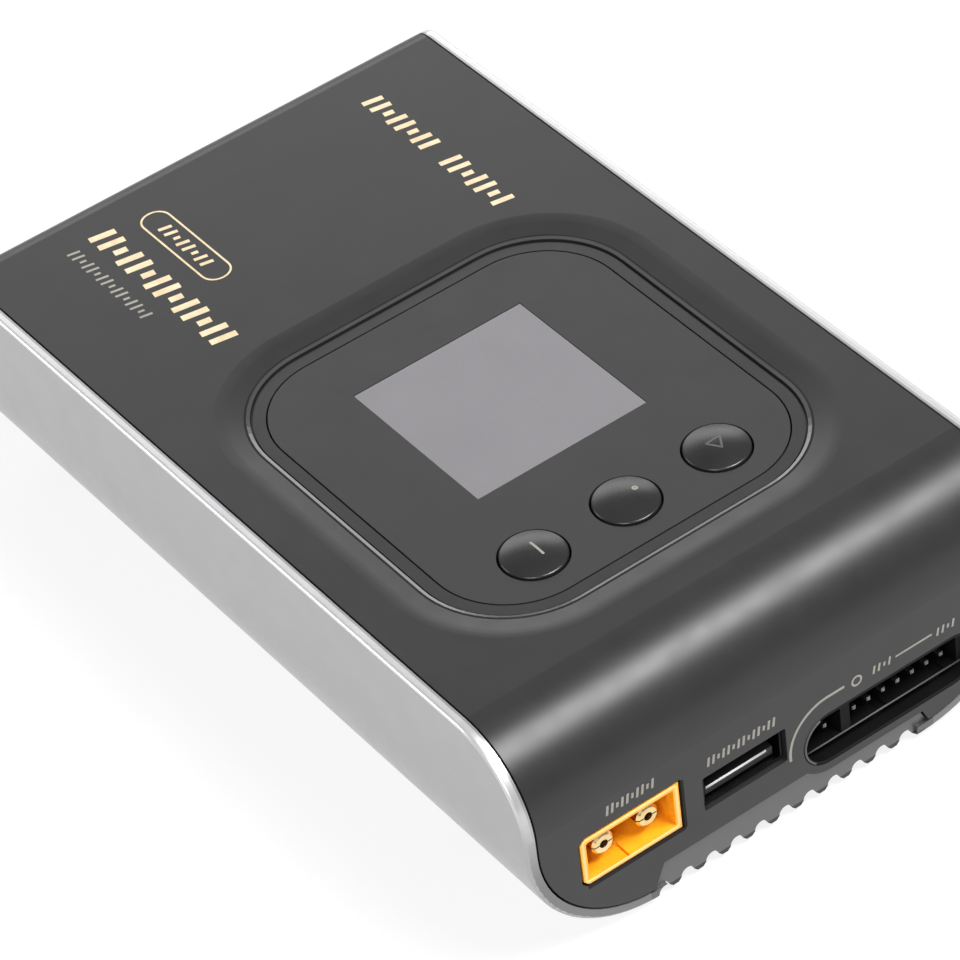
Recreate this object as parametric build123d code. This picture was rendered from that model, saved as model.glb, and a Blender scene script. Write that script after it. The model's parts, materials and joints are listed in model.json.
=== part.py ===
"""Balance battery charger: a grey U-shaped tray, a dark cover that wraps over the top, front and back,
a sunken display panel with three buttons, three output ports, a mains inlet, a fan and the boards inside.
Millimetres, +Z up, ports towards -Y, origin at the centre of the footprint on the table."""
from build123d import *
import math
import os

# ---------------------------------------------------------------- driving dimensions
LENGTH = 134.6
WIDTH = 84.0
HEIGHT = 36.2
FOOT_DROP = 0.8            # how far the rubber feet stand below the tray
TRAY_WALL = 1.6
CORNER_R = 19.9            # big rounds between the sides and the bottom
FRONT_R = 12.7             # round between the top and the port face
BACK_R = 4.0               # round between the top and the back face
RIM_ROUND = 0.6            # outer edge of the tray
SEAM = 0.3                 # open line between tray and cover
COVER_WALL = 2.0
SKIRT = 9.0                # how far the cover reaches down inside the tray
SKIRT_WALL = 1.8

HALF_L = LENGTH / 2
HALF_W = WIDTH / 2
TRAY_Z = FOOT_DROP
FLOOR_Z = TRAY_Z + TRAY_WALL
FRONT_Y = -HALF_L
BACK_Y = HALF_L
FRONT_IN = FRONT_Y + COVER_WALL
BACK_IN = BACK_Y - COVER_WALL
ROOF_Z = HEIGHT - COVER_WALL

# display area
PANEL_Y = -13.9            # centre of the panel
PANEL_W = 55.2
PANEL_L = 59.4
PANEL_R = 12.1
PANEL_GAP = 0.25
PANEL_Z = HEIGHT - 1.0     # outer face of the panel
PANEL_T = 2.0
PANEL_POST_D = 4.6
PANEL_POST_BORE = 1.9
RING_W = 2.4               # flat ring between panel and dish
RING_STEP = 0.25
RING_GROOVE = 0.35         # fine groove along the outside of that ring
DISH_W = 4.0               # width of the sloping dish wall
DISH_SOFT_R = 9.0
FLANGE_OUT = 1.8           # the panel's flange reaches this far under the cover
FLANGE_T = 0.8
GASKET_T = 0.2
SCREEN = 28.3
SCREEN_Y = -7.8
LENS_T = 1.0
BUTTON_PITCH = 15.25
BUTTON_Y = -35.6
BUTTON_D = 9.3
BUTTON_HOLE_D = 9.9
BUTTON_RISE = 0.95
BUTTON_EDGE_R = 0.3
BUTTON_FLANGE = 0.7        # the cap's flange is this much wider all round
BUTTON_FLANGE_T = 0.9
BUTTONS = {"left": -BUTTON_PITCH, "middle": 0.0, "right": BUTTON_PITCH}

# boards
PCB_T = 1.6
PCB_HALF = 29.0
BOARD_Z = 7.45             # upper face of the main and power boards
DISPLAY_PCB_TOP = 28.2
TACT_H = 2.5
PLUNGER_D = 3.3
MAIN_BACK = 0.0            # main board ends here, the power board starts a gap further back
POWER_FRONT = 4.0
STANDOFF_D = 5.5
STANDOFF_BORE = 2.3
BOARD_HOLE_D = 2.7
MAIN_HOLES = [(x, y) for x in (-26.0, 26.0) for y in (-47.0, -4.0)]
POWER_HOLES = [(x, y) for x in (-26.0, 26.0) for y in (8.0, 48.0)]

# screen module and the flat cable down to the main board
LCD_TOP = PANEL_Z - LENS_T - 0.1
LCD_T = 1.9
LCD_W = 31.5
LCD_L = 33.7
RIBBON_X = -4.0
RIBBON_W = 12.0
RIBBON_Y = -26.0
RIBBON_T = 0.3
SOCKET_H = 2.0
SOCKET_HALF_Y = 2.5

# power components
TRAFO_X = 5.5
TRAFO_Y = 32.0
TRAFO_LOW = BOARD_Z + 2.6
TRAFO_W = 25.0
TRAFO_D = 12.0
TRAFO_H = 20.0
LEG_W = 6.4
YOKE = 3.6
WINDOW_W = 5.6
BOBBIN_HALF = (8.6, 10.4)
COIL_HALF = (8.3, 9.8)
CHOKE_X = 4.0
CHOKE_Y = 47.5
CHOKE_W = 16.0
CHOKE_T = 5.0
CHOKE_LOW = BOARD_Z + 1.5
CHOKE_TOP = BOARD_Z + 14.5
CHOKE_LEG = 3.2
CHOKE_YOKE = 2.5
BULK_X = -20.0
BULK_Y = (12.0, 40.0)
BULK_R = 8.0
OUTPUT_CAPS = [            # x, y, diameter, height
    (-4.0, 16.0, 8.0, 15.0),
    (5.0, 16.0, 8.0, 15.0),
    (-9.0, -11.5, 10.0, 13.0),
    (3.0, -11.5, 10.0, 13.0),
]
HEATSINK_X = 22.0
HEATSINK_Y = (13.0, 44.5)
HEATSINK_H = 21.0
FIN_COUNT = 6
FIN_PITCH = 3.4
TRANSISTOR_YS = (17.5, 39.0)
TRANSISTOR_LEG_PITCH = 2.54
FUSE_Y = 43.2
FUSE_CLIP_XS = (-25.5, -10.5)
BRIDGE_X = (6.0, 20.0)
BRIDGE_LEG_PITCH = 3.6

# main board components
INDUCTOR_SPOTS = ((-21.5, -34.5), (-21.5, -19.5))
INDUCTOR_W = 12.5
DRIVER_YS = (-44.0, -36.0, -28.0)
BUZZER_X = 16.0
BUZZER_Y = -12.0

# case screws, in wells at the rounded corners
WELL_X = 34.0
WELL_YS = (-42.0, 57.0)
WELL_TOP = 12.0
WELL_D = 6.0
BOSS_D = 8.0
POST_D = 6.4
SCREW_D = 2.5
SCREW_L = 12.0
SCREW_HEAD_D = 5.4
SCREW_HEAD_H = 2.0
WELL_ROOF = 3.0            # plastic between a screw head and the top of its boss

# ports on the front face
XT_X = -25.9
XT_Z = 14.8
XT_W = 15.9
XT_H = 8.1
XT_WALL = 0.9
XT_CHAMFER = 0.8
XT_DEPTH = 8.5             # of the open cavity
XT_PITCH = 7.2
XT_PIN_D = 3.5
XT_BORE = 1.3
XT_SPLIT = 0.2
XT_TIP_Y = FRONT_Y + 1.2
XT_GROOVE_X = -26.7        # alignment groove in the cavity floor
XT_GROOVE_W = 0.4
XT_GROOVE_L = 2.9
PORT_GAP = 0.35
USB_X = -7.35
USB_Z = 13.95
USB_W = 13.1
USB_H = 5.2
USB_SHELL = 0.3
USB_LENGTH = 14.0
USB_EDGE_Y = FRONT_Y + 0.7 # front edge of the metal shell
USB_BASE_Y = FRONT_Y + 10.5
USB_TONGUE_Y = FRONT_Y + 1.5
USB_TONGUE_W = 11.2
USB_TONGUE_LOW = 12.05
USB_TONGUE_TOP = 13.45
USB_STRIP_Y = FRONT_Y + 3.8
USB_STRIP_PITCH = 2.2
XH_PITCH = 2.5
XH_X0 = 12.8               # first of the seven balance pins
XH_COUNT = 7
XH_EXTRA_X = 7.8           # separate pin in its own compartment
XH_Z = 9.9
XH_PIN = 0.64
XH_SIDE = 1.65             # from an end pin to the wall of its compartment
PIN_TIP_Y = FRONT_Y + 2.4
BAL_X0 = 2.2               # ends of the rounded balance port opening
BAL_X1 = 32.0
BAL_Z = 10.5
BAL_R = 4.4
BAL_LIP = 0.45
BAL_FACE_Y = FRONT_Y + 1.4
BAL_ROOM_LOW = 8.35        # floor and roof of the pin compartments
BAL_ROOM_TOP = 14.3
BAL_ROOM_WALL = 0.7
BAL_ROOM_DEPTH = 8.5
BAL_LEDGE = 0.35           # wall between the compartments and the hollow below
BAL_HOLLOW_DEPTH = 2.3
BAL_KEY_W = 1.6

# ribbed air intake under the front edge
BAY_HALF_LOW = 23.8
BAY_HALF_TOP = 21.2
BAY_TOP = 6.3              # upper edge of the front wall
BAY_ROOF = 5.0             # upper face of the block behind that wall
BAY_FRONT = FRONT_Y + 0.6
BAY_WALL_BACK = FRONT_Y + 2.3
BAY_BACK = -43.0
BAY_PORT_MARGIN = 1.5      # the wall dips round the balance port
CHANNEL_COUNT = 11
CHANNEL_X0 = -21.55
CHANNEL_PITCH = 4.11
CHANNEL_W = 2.2
CHANNEL_FLARE = 0.5        # the grooves open out at the bottom
CHANNEL_TOP = 2.4
CHANNEL_END = -45.0
INTAKE_SLOT_L = 17.0
INTAKE_SLOT_W = 1.7

# back face
INLET_X = -18.0
INLET_Z = 16.0
INLET_PITCH = 8.6
INLET_LOBE_R = 4.1
FAN_X = 9.0
FAN_Z = 17.5
FAN_SIZE = 30.0
FAN_DEPTH = 10.0
FAN_BORE_R = 14.0
FAN_HOLE = 12.0
FAN_FRONT = BACK_IN - FAN_DEPTH
FAN_SCREW_D = 2.4
FAN_HEAD_D = 4.6
FAN_HEAD_H = 1.2
FAN_HUB_D = 14.4
FAN_TUBE_D = 4.6
FAN_BUSH_D = 3.4
FAN_SHAFT_D = 1.6
FAN_TUBE_Y = FAN_FRONT + 2.7
BLADE_COUNT = 7
BLADE_TILT = 38
GRILLE_R = 12.6            # exhaust slots lie inside this circle
GRILLE_PITCH = 3.4
GRILLE_SLOT_W = 2.0

# rubber feet
FOOT_W = 7.0
FOOT_L = 15.0
FOOT_SINK = 0.4
FEET = [(x, y) for x in (-16.0, 16.0) for y in (-33.0, 56.0)]


# ---------------------------------------------------------------- helpers
def block(x0, x1, y0, y1, z0, z1):
    """Box between two corners."""
    size = (x1 - x0, y1 - y0, z1 - z0)
    return Pos((x0 + x1) / 2, (y0 + y1) / 2, (z0 + z1) / 2) * Box(*size)


def post(x, y, z0, z1, diameter):
    """Upright round bar."""
    return Pos(x, y, (z0 + z1) / 2) * Cylinder(diameter / 2, z1 - z0)


def rod(x, z, y0, y1, diameter):
    """Round bar along Y."""
    return Pos(x, (y0 + y1) / 2, z) * Rot(90, 0, 0) * Cylinder(diameter / 2, y1 - y0)


def plate(outline, z0, z1):
    """Flat XY outline made solid between two heights."""
    return extrude(Pos(0, 0, z0) * outline, z1 - z0)


def front_plate(outline, y0, y1):
    """XZ outline made solid between two depths."""
    return extrude(Plane.XZ.offset(-y1) * outline, y1 - y0)


def join(solids):
    """Fuse a list of touching solids."""
    result = solids[0]
    for solid in solids[1:]:
        result = result + solid
    return result


def save(name, shape):
    """Write one node; a list stays separate solids."""
    if isinstance(shape, list):
        shape = Compound(children=[s.solid() if len(s.solids()) == 1 else s for s in shape])
    export_step(shape, f"parts/{name}.step")


# ---------------------------------------------------------------- casing
def channel_outline(inset):
    """XZ section of the case: straight sides and a flat bottom with big rounds between them."""
    low = TRAY_Z + inset
    outline = Pos(0, low + HEIGHT / 2) * Rectangle(2 * (HALF_W - inset), HEIGHT)
    return fillet(outline.vertices().group_by(Axis.Y)[0], CORNER_R - inset)


def side_outline(inset):
    """YZ section of the case: big round at the port end, small round at the back."""
    top = HEIGHT - inset
    half = HALF_L - inset
    outline = Pos(0, top / 2 - HEIGHT) * Rectangle(2 * half, top + 2 * HEIGHT)
    front = outline.vertices().group_by(Axis.Y)[-1].sort_by(Axis.X)[0]
    outline = fillet(front, FRONT_R - inset)
    back = outline.vertices().group_by(Axis.Y)[-1].sort_by(Axis.X)[-1]
    return fillet(back, BACK_R - inset)


def channel(inset, half_length):
    """Case section run along Y."""
    return extrude(Plane.XZ * channel_outline(inset), half_length, both=True)


def side_body(inset, half_width):
    """Side profile run along X."""
    return extrude(Plane.YZ * side_outline(inset), half_width, both=True)


def rim_edges(body):
    """Outer edges of the case, without the smooth seams between flats and rounds."""
    seam_z = TRAY_Z + CORNER_R
    chosen = []
    for edge in body.edges():
        mid = edge.position_at(0.5)
        on_side = abs(abs(mid.X) - HALF_W) < 0.01 and abs(mid.Z - seam_z) > 0.01
        on_end = abs(abs(mid.Y) - HALF_L) < 0.01 and mid.Z < seam_z
        if on_side or on_end:
            chosen.append(edge)
    return chosen


def bay_outline(grow):
    """Trapezoid of the air intake, seen from the front, with a dip under the balance port."""
    low = TRAY_Z - 1.0
    slope = (BAY_HALF_LOW - BAY_HALF_TOP) / (BAY_TOP - TRAY_Z)
    half_low = BAY_HALF_LOW + slope + grow
    half_top = BAY_HALF_TOP + grow
    top = BAY_TOP + grow
    corners = [(-half_low, low), (half_low, low), (half_top, top), (-half_top, top)]
    outline = make_face(Polyline(*corners, close=True))
    return outline - balance_outline(grow - BAY_PORT_MARGIN)


def intake_channels():
    """Round-topped grooves under the intake, with a slot through the roof of each inner one."""
    cuts = []
    radius = CHANNEL_W / 2
    crown = CHANNEL_TOP - radius
    flare = radius + CHANNEL_FLARE
    neck = TRAY_Z + CHANNEL_FLARE
    mouth = [(-flare, 0), (flare, 0), (flare, TRAY_Z), (radius, neck), (radius, crown)]
    mouth += [(-radius, crown), (-radius, neck), (-flare, TRAY_Z)]
    section = Pos(0, crown) * Circle(radius) + make_face(Polyline(*mouth, close=True))
    for i in range(CHANNEL_COUNT):
        x = CHANNEL_X0 + i * CHANNEL_PITCH
        cuts.append(front_plate(Pos(x, 0) * section, FRONT_Y - 1, CHANNEL_END))
        if i > 0:
            middle = (BAY_FRONT + BAY_BACK) / 2 + 1
            slot = Pos(x, middle) * SlotOverall(INTAKE_SLOT_L, INTAKE_SLOT_W, rotation=90)
            cuts.append(plate(slot, crown, BAY_ROOF + 0.1))
    return cuts


def bottom_tray():
    """Tray with its sides, the intake block, screw bosses and standoffs."""
    body = channel(0, HALF_L + 5) & side_body(0, HALF_W + 5)
    shell = fillet(rim_edges(body), RIM_ROUND)
    inside = extrude(Plane.XZ * channel_outline(TRAY_WALL), LENGTH, both=True)
    inside += block(-HALF_W + TRAY_WALL, HALF_W - TRAY_WALL, -LENGTH, LENGTH, HEIGHT - 3, HEIGHT + 5)
    tray = shell - inside
    wall = front_plate(bay_outline(0), BAY_FRONT, BAY_WALL_BACK)
    roof = front_plate(bay_outline(0), BAY_FRONT, BAY_BACK)
    roof -= block(-HALF_W, HALF_W, FRONT_Y, 0, BAY_ROOF, HEIGHT)
    tray -= block(-BAY_HALF_TOP, BAY_HALF_TOP, FRONT_Y - 1, BAY_FRONT, 0, BAY_TOP)
    tray += (wall + roof) & channel(0, LENGTH)
    for x in (-WELL_X, WELL_X):
        for y in WELL_YS:
            boss = post(x, y, 0, WELL_TOP, BOSS_D) & channel(0, LENGTH)
            tray += boss
    for x, y in MAIN_HOLES + POWER_HOLES:
        tray += post(x, y, FLOOR_Z - 0.5, BOARD_Z - PCB_T, STANDOFF_D)
        tray -= post(x, y, FLOOR_Z + 0.6, BOARD_Z, STANDOFF_BORE)
    for x in (-WELL_X, WELL_X):
        for y in WELL_YS:
            tray -= post(x, y, 0, WELL_TOP - WELL_ROOF, WELL_D)
            tray -= post(x, y, 0, WELL_TOP + 1, SCREW_D + 0.6)
    for x, y in FEET:
        tray -= plate(Pos(x, y) * SlotOverall(FOOT_L, FOOT_W, rotation=90), 0, TRAY_Z + FOOT_SINK)
    for cut in intake_channels():
        tray -= cut
    return tray


def rounded(grow):
    """Rounded square of the display panel, grown outwards."""
    size = (PANEL_W + 2 * grow, PANEL_L + 2 * grow)
    return Pos(0, PANEL_Y) * RectangleRounded(*size, PANEL_R + grow)


def dish_cut():
    """Soft sunken surround of the display panel."""
    depth = HEIGHT - PANEL_Z
    foot = PANEL_Z + RING_STEP
    lean = math.degrees(math.atan(DISH_W / (HEIGHT - foot)))
    slope = extrude(Pos(0, 0, foot) * rounded(RING_W), HEIGHT - foot + 0.5, taper=-lean)
    ring = plate(rounded(RING_W), PANEL_Z, foot + 0.1)
    ring += plate(rounded(RING_W) - rounded(RING_W - RING_GROOVE), PANEL_Z - RING_GROOVE, PANEL_Z + 0.1)
    hole = plate(rounded(PANEL_GAP), PANEL_Z - depth - 4, PANEL_Z + 0.1)
    return slope, ring, hole


def xt_outline(grow):
    """Power connector outline: two corners cut at the left end."""
    half_w = XT_W / 2 + grow
    half_h = XT_H / 2 + grow
    cut = XT_CHAMFER + grow * 0.6
    points = [
        (-half_w + cut, -half_h),
        (half_w, -half_h),
        (half_w, half_h),
        (-half_w + cut, half_h),
        (-half_w, half_h - cut),
        (-half_w, -half_h + cut),
    ]
    return Pos(XT_X, XT_Z) * make_face(Polyline(*points, close=True))


def balance_outline(shrink):
    """Round-ended outline of the balance port."""
    length = BAL_X1 - BAL_X0 - 2 * shrink
    return Pos((BAL_X0 + BAL_X1) / 2, BAL_Z) * SlotOverall(length, 2 * (BAL_R - shrink))


def inlet_outline(grow):
    """Figure-of-eight outline of the mains inlet."""
    lobes = [Pos(x, 0) * Circle(INLET_LOBE_R + grow) for x in (-INLET_PITCH / 2, INLET_PITCH / 2)]
    waist = Rectangle(INLET_PITCH, 2 * (INLET_LOBE_R + grow) - 2.4)
    return Pos(INLET_X, INLET_Z) * (lobes[0] + lobes[1] + waist)


def front_cuts():
    """Openings through the front wall."""
    y0 = FRONT_Y - 1
    y1 = FRONT_IN + 1
    usb = Pos(USB_X, USB_Z) * RectangleRounded(USB_W + 0.7, USB_H + 0.7, 0.4)
    return [
        front_plate(xt_outline(PORT_GAP), y0, y1),
        front_plate(usb, y0, y1),
        front_plate(balance_outline(0), y0, y1),
        front_plate(bay_outline(0.2), y0, y1),
    ]


def fan_holes():
    """Centres of the four fan screws, seen from the front."""
    return [(FAN_X + x, FAN_Z + z) for x in (-FAN_HOLE, FAN_HOLE) for z in (-FAN_HOLE, FAN_HOLE)]


def back_cuts():
    """Inlet opening, exhaust slots inside a circle, and the fan screw holes."""
    y0 = BACK_IN - 1
    y1 = BACK_Y + 1
    cuts = [front_plate(inlet_outline(1.3), y0, y1)]
    for i in range(-3, 4):
        half = math.sqrt(GRILLE_R ** 2 - (i * GRILLE_PITCH) ** 2)
        slot = Pos(FAN_X + i * GRILLE_PITCH, FAN_Z) * SlotOverall(2 * half, GRILLE_SLOT_W, rotation=90)
        cuts.append(front_plate(slot, y0, y1))
    for x, z in fan_holes():
        cuts.append(rod(x, z, y0, y1, FAN_SCREW_D + 0.2))
        cuts.append(rod(x, z, BACK_Y - FAN_HEAD_H, y1, FAN_HEAD_D + 0.3))
    return cuts


def top_cover():
    """Cover that wraps over the top, front and back, with the dish and all openings."""
    inset = TRAY_WALL + SEAM
    outer = channel(inset, LENGTH) & side_body(0, HALF_W)
    room_half = HALF_W - inset - SKIRT_WALL
    room = side_body(COVER_WALL, room_half)
    below = block(-HALF_W, HALF_W, FRONT_IN, BACK_IN, -1, HEIGHT - SKIRT)
    cover = outer - room - below
    thick = plate(rounded(RING_W + DISH_W + 2), PANEL_Z - PANEL_T, ROOF_Z + 0.5)
    thick &= side_body(COVER_WALL / 2, room_half)
    cover += thick
    slope, ring, hole = dish_cut()
    cover -= slope
    brow = [
        e for e in cover.edges()
        if abs(e.position_at(0.5).Z - HEIGHT) < 0.01 and abs(e.position_at(0.5).X) < 37
        and abs(e.position_at(0.5).Y - PANEL_Y) < PANEL_L / 2 + RING_W + DISH_W + 1
    ]
    cover = fillet(brow, DISH_SOFT_R)
    cover -= ring
    cover -= hole
    for x in (-WELL_X, WELL_X):
        for y in WELL_YS:
            cover += post(x, y, WELL_TOP, ROOF_Z + 0.5, POST_D)
            cover -= post(x, y, WELL_TOP - 1, WELL_TOP + SCREW_L - 1, SCREW_D + 0.1)
    for cut in front_cuts() + back_cuts():
        cover -= cut
    return cover


def case_screws():
    """Four screws that go up through the tray into the cover's posts."""
    screws = []
    for x in (-WELL_X, WELL_X):
        for y in WELL_YS:
            seat = WELL_TOP - WELL_ROOF
            head = post(x, y, seat - SCREW_HEAD_H, seat, SCREW_HEAD_D)
            socket = post(x, y, seat - SCREW_HEAD_H - 0.1, seat - 0.4 * SCREW_HEAD_H, SCREW_D + 0.1)
            shank = post(x, y, seat, seat + SCREW_L, SCREW_D)
            screws.append(head - socket + shank)
    return screws


def rubber_feet():
    """Four long pads sunk into the underside."""
    feet = []
    for x, y in FEET:
        pad = plate(Pos(x, y) * SlotOverall(FOOT_L - 0.2, FOOT_W - 0.2, rotation=90), 0, TRAY_Z + FOOT_SINK)
        feet.append(chamfer(pad.edges().group_by(Axis.Z)[0], 0.3))
    return feet


# ---------------------------------------------------------------- display and buttons
def display_panel():
    """Panel with its hidden flange, the screen window, button holes and posts for the board."""
    panel = plate(rounded(0), PANEL_Z - PANEL_T, PANEL_Z)
    flange_top = PANEL_Z - PANEL_T - GASKET_T
    panel = panel + plate(rounded(0), flange_top - FLANGE_T, PANEL_Z - PANEL_T)
    panel += plate(rounded(FLANGE_OUT), flange_top - FLANGE_T, flange_top)
    window = Pos(0, SCREEN_Y) * Rectangle(SCREEN + 0.05, SCREEN + 0.05)
    panel -= plate(window, PANEL_Z - LENS_T, PANEL_Z + 1)
    panel -= plate(Pos(0, SCREEN_Y) * Rectangle(SCREEN - 1.2, SCREEN - 1.2), 0, HEIGHT)
    lcd_pocket = Pos(0, SCREEN_Y) * Rectangle(LCD_W + 0.7, LCD_L + 0.7)
    panel -= plate(lcd_pocket, 0, PANEL_Z - LENS_T - 0.1)
    for x in BUTTONS.values():
        panel -= post(x, BUTTON_Y, 0, HEIGHT, BUTTON_HOLE_D)
        panel -= post(x, BUTTON_Y, 0, PANEL_Z - PANEL_T + 0.1, BUTTON_HOLE_D + 2)
    for x, y in panel_posts():
        panel += post(x, y, DISPLAY_PCB_TOP, flange_top, PANEL_POST_D)
        panel -= post(x, y, DISPLAY_PCB_TOP - 1, flange_top + 0.4, PANEL_POST_BORE)
    return panel


def panel_posts():
    """Centres of the posts that carry the display board."""
    return [(x, PANEL_Y + y) for x in (-22.5, 22.5) for y in (-17.0, 24.5)]


def panel_gasket():
    """Thin bonding ring between the panel flange and the cover."""
    ring = rounded(FLANGE_OUT - 0.1) - rounded(PANEL_GAP + 0.05)
    return plate(ring, PANEL_Z - PANEL_T - GASKET_T, PANEL_Z - PANEL_T)


def display_lens():
    """Clear square window, flush with the panel."""
    lens = plate(Pos(0, SCREEN_Y) * Rectangle(SCREEN, SCREEN), PANEL_Z - LENS_T, PANEL_Z - 0.03)
    return chamfer(lens.edges().group_by(Axis.Z)[-1], 0.1)


def lcd_module():
    """Glass display with its flex tail running down to the board inside the carrier."""
    glass = plate(Pos(0, SCREEN_Y) * RectangleRounded(LCD_W, LCD_L, 0.6), LCD_TOP - LCD_T, LCD_TOP)
    tail = block(-6, 6, SCREEN_Y - 14.0, SCREEN_Y - 13.7, DISPLAY_PCB_TOP, LCD_TOP - LCD_T)
    return glass + tail


def lcd_carrier():
    """Plastic frame that holds the display off its board."""
    top = LCD_TOP - LCD_T
    frame = plate(Pos(0, SCREEN_Y) * RectangleRounded(LCD_W, LCD_L, 1), DISPLAY_PCB_TOP, top)
    frame -= plate(Pos(0, SCREEN_Y) * Rectangle(LCD_W - 4, LCD_L - 4), DISPLAY_PCB_TOP - 1, top + 1)
    return frame


def button(x):
    """Domed cap with a retaining flange underneath."""
    radius = BUTTON_D / 2
    foot = PANEL_Z - PANEL_T - BUTTON_FLANGE_T
    shoulder = PANEL_Z + 0.25
    rise = PANEL_Z + BUTTON_RISE - shoulder
    ball = (radius ** 2 + rise ** 2) / (2 * rise)
    cap = post(x, BUTTON_Y, foot, shoulder + rise, BUTTON_D)
    cap &= Pos(x, BUTTON_Y, shoulder + rise - ball) * Sphere(ball) + post(x, BUTTON_Y, foot - 1, shoulder, 20)
    rounds = [e for e in cap.edges().filter_by(GeomType.CIRCLE) if abs(e.center().Z - shoulder) < 0.01]
    cap = fillet(rounds, BUTTON_EDGE_R)
    flange = post(x, BUTTON_Y, foot, PANEL_Z - PANEL_T - 0.05, BUTTON_D + 2 * BUTTON_FLANGE)
    return cap + flange


def plunger(x):
    """Small stem of the switch that the cap presses."""
    top = PANEL_Z - PANEL_T - BUTTON_FLANGE_T
    return post(x, BUTTON_Y, DISPLAY_PCB_TOP + TACT_H - 1.0, top, PLUNGER_D)


def tact_switches():
    """Three square push switches with a well for the stem."""
    switches = []
    for x in BUTTONS.values():
        body = block(x - 3, x + 3, BUTTON_Y - 3, BUTTON_Y + 3, DISPLAY_PCB_TOP, DISPLAY_PCB_TOP + TACT_H)
        body = chamfer(body.edges().group_by(Axis.Z)[-1], 0.3)
        switches.append(body - post(x, BUTTON_Y, DISPLAY_PCB_TOP + 0.8, HEIGHT, PLUNGER_D + 0.2))
    return switches


def display_pcb():
    """Round-cornered board behind the panel."""
    board = plate(rounded(-2.2), DISPLAY_PCB_TOP - PCB_T, DISPLAY_PCB_TOP)
    for x, y in panel_posts():
        board -= post(x, y, 0, HEIGHT, 2.2)
    return board


def display_screws():
    """Four screws from the back of the display board into the panel posts."""
    low = DISPLAY_PCB_TOP - PCB_T
    screws = []
    for x, y in panel_posts():
        screws.append(post(x, y, low - 1.2, low, 3.6) + post(x, y, low, DISPLAY_PCB_TOP + 3.0, 1.8))
    return screws


def ribbon_sockets():
    """One socket on each board for the flat cable."""
    half = RIBBON_W / 2 + 1.2
    across = (RIBBON_X - half, RIBBON_X + half, RIBBON_Y - SOCKET_HALF_Y, RIBBON_Y + SOCKET_HALF_Y)
    low = DISPLAY_PCB_TOP - PCB_T
    return [block(*across, low - SOCKET_H, low), block(*across, BOARD_Z, BOARD_Z + SOCKET_H)]


def display_ribbon():
    """Flat cable in a C bend from one socket to the other."""
    high = DISPLAY_PCB_TOP - PCB_T - SOCKET_H / 2
    low = BOARD_Z + SOCKET_H / 2
    y0 = RIBBON_Y - SOCKET_HALF_Y
    bend = RIBBON_Y - 11.0
    route = FilletPolyline((y0, high), (bend, high), (bend, low), (y0, low), radius=4.0)
    strip = Plane.YZ.offset(RIBBON_X - RIBBON_W / 2) * trace(route, line_width=RIBBON_T)
    return extrude(strip, RIBBON_W)


# ---------------------------------------------------------------- boards
def drilled(board, holes):
    """Board with its screw holes."""
    for x, y in holes:
        board -= post(x, y, 0, HEIGHT, BOARD_HOLE_D)
    return board


def main_pcb():
    """Board with the ports, behind the front wall."""
    board = block(-PCB_HALF, PCB_HALF, FRONT_IN + 0.8, MAIN_BACK, BOARD_Z - PCB_T, BOARD_Z)
    return drilled(board, MAIN_HOLES)


def power_pcb():
    """Mains board, with a tongue beside the fan for the inlet."""
    board = block(-PCB_HALF, PCB_HALF, POWER_FRONT, FAN_FRONT - 2.5, BOARD_Z - PCB_T, BOARD_Z)
    board += block(-PCB_HALF, FAN_X - FAN_SIZE / 2 - 2, POWER_FRONT, BACK_IN - 1, BOARD_Z - PCB_T, BOARD_Z)
    return drilled(board, POWER_HOLES)


def pcb_screws():
    """Eight screws from the boards into the tray."""
    screws = []
    for x, y in MAIN_HOLES + POWER_HOLES:
        head = post(x, y, BOARD_Z, BOARD_Z + 1.6, 4.4) - post(x, y, BOARD_Z + 0.7, BOARD_Z + 2, 1.6)
        screws.append(head + post(x, y, FLOOR_Z + 1.0, BOARD_Z, 2.2))
    return screws


def insulator_sheet():
    """Thin sheet between the mains side of the board and the tray."""
    return block(-21, 21, 12, 44, FLOOR_Z, FLOOR_Z + 0.3)


def link_bars():
    """Copper bridges that carry the supply from the power board to the main board."""
    bars = []
    for x in (-16.0, -9.0):
        foot_a = block(x - 1.5, x + 1.5, -3.5, -2.5, BOARD_Z, BOARD_Z + 4)
        foot_b = block(x - 1.5, x + 1.5, 5.5, 6.5, BOARD_Z, BOARD_Z + 4)
        span = block(x - 1.5, x + 1.5, -3.5, 6.5, BOARD_Z + 3, BOARD_Z + 4)
        bars.append(join([foot_a, foot_b, span]))
    return bars


# ---------------------------------------------------------------- ports
def xt60_contacts():
    """Two split bullet pins with tails down to the board."""
    contacts = []
    for side in (-1, 1):
        x = XT_X + side * XT_PITCH / 2
        pin = rod(x, XT_Z, XT_TIP_Y, FRONT_Y + 9.5, XT_PIN_D)
        pin = chamfer(pin.edges().group_by(Axis.Y)[0], 0.35)
        pin -= rod(x, XT_Z, XT_TIP_Y - 1, XT_TIP_Y + 5, XT_BORE)
        pin -= block(x - 3, x + 3, XT_TIP_Y - 1, XT_TIP_Y + 5, XT_Z - XT_SPLIT / 2, XT_Z + XT_SPLIT / 2)
        tail = rod(x, XT_Z, FRONT_Y + 9.5, FRONT_Y + 17.5, 2.6)
        contacts.append(pin + tail + post(x, FRONT_Y + 16.4, BOARD_Z, XT_Z, 2.2))
    return contacts


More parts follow.
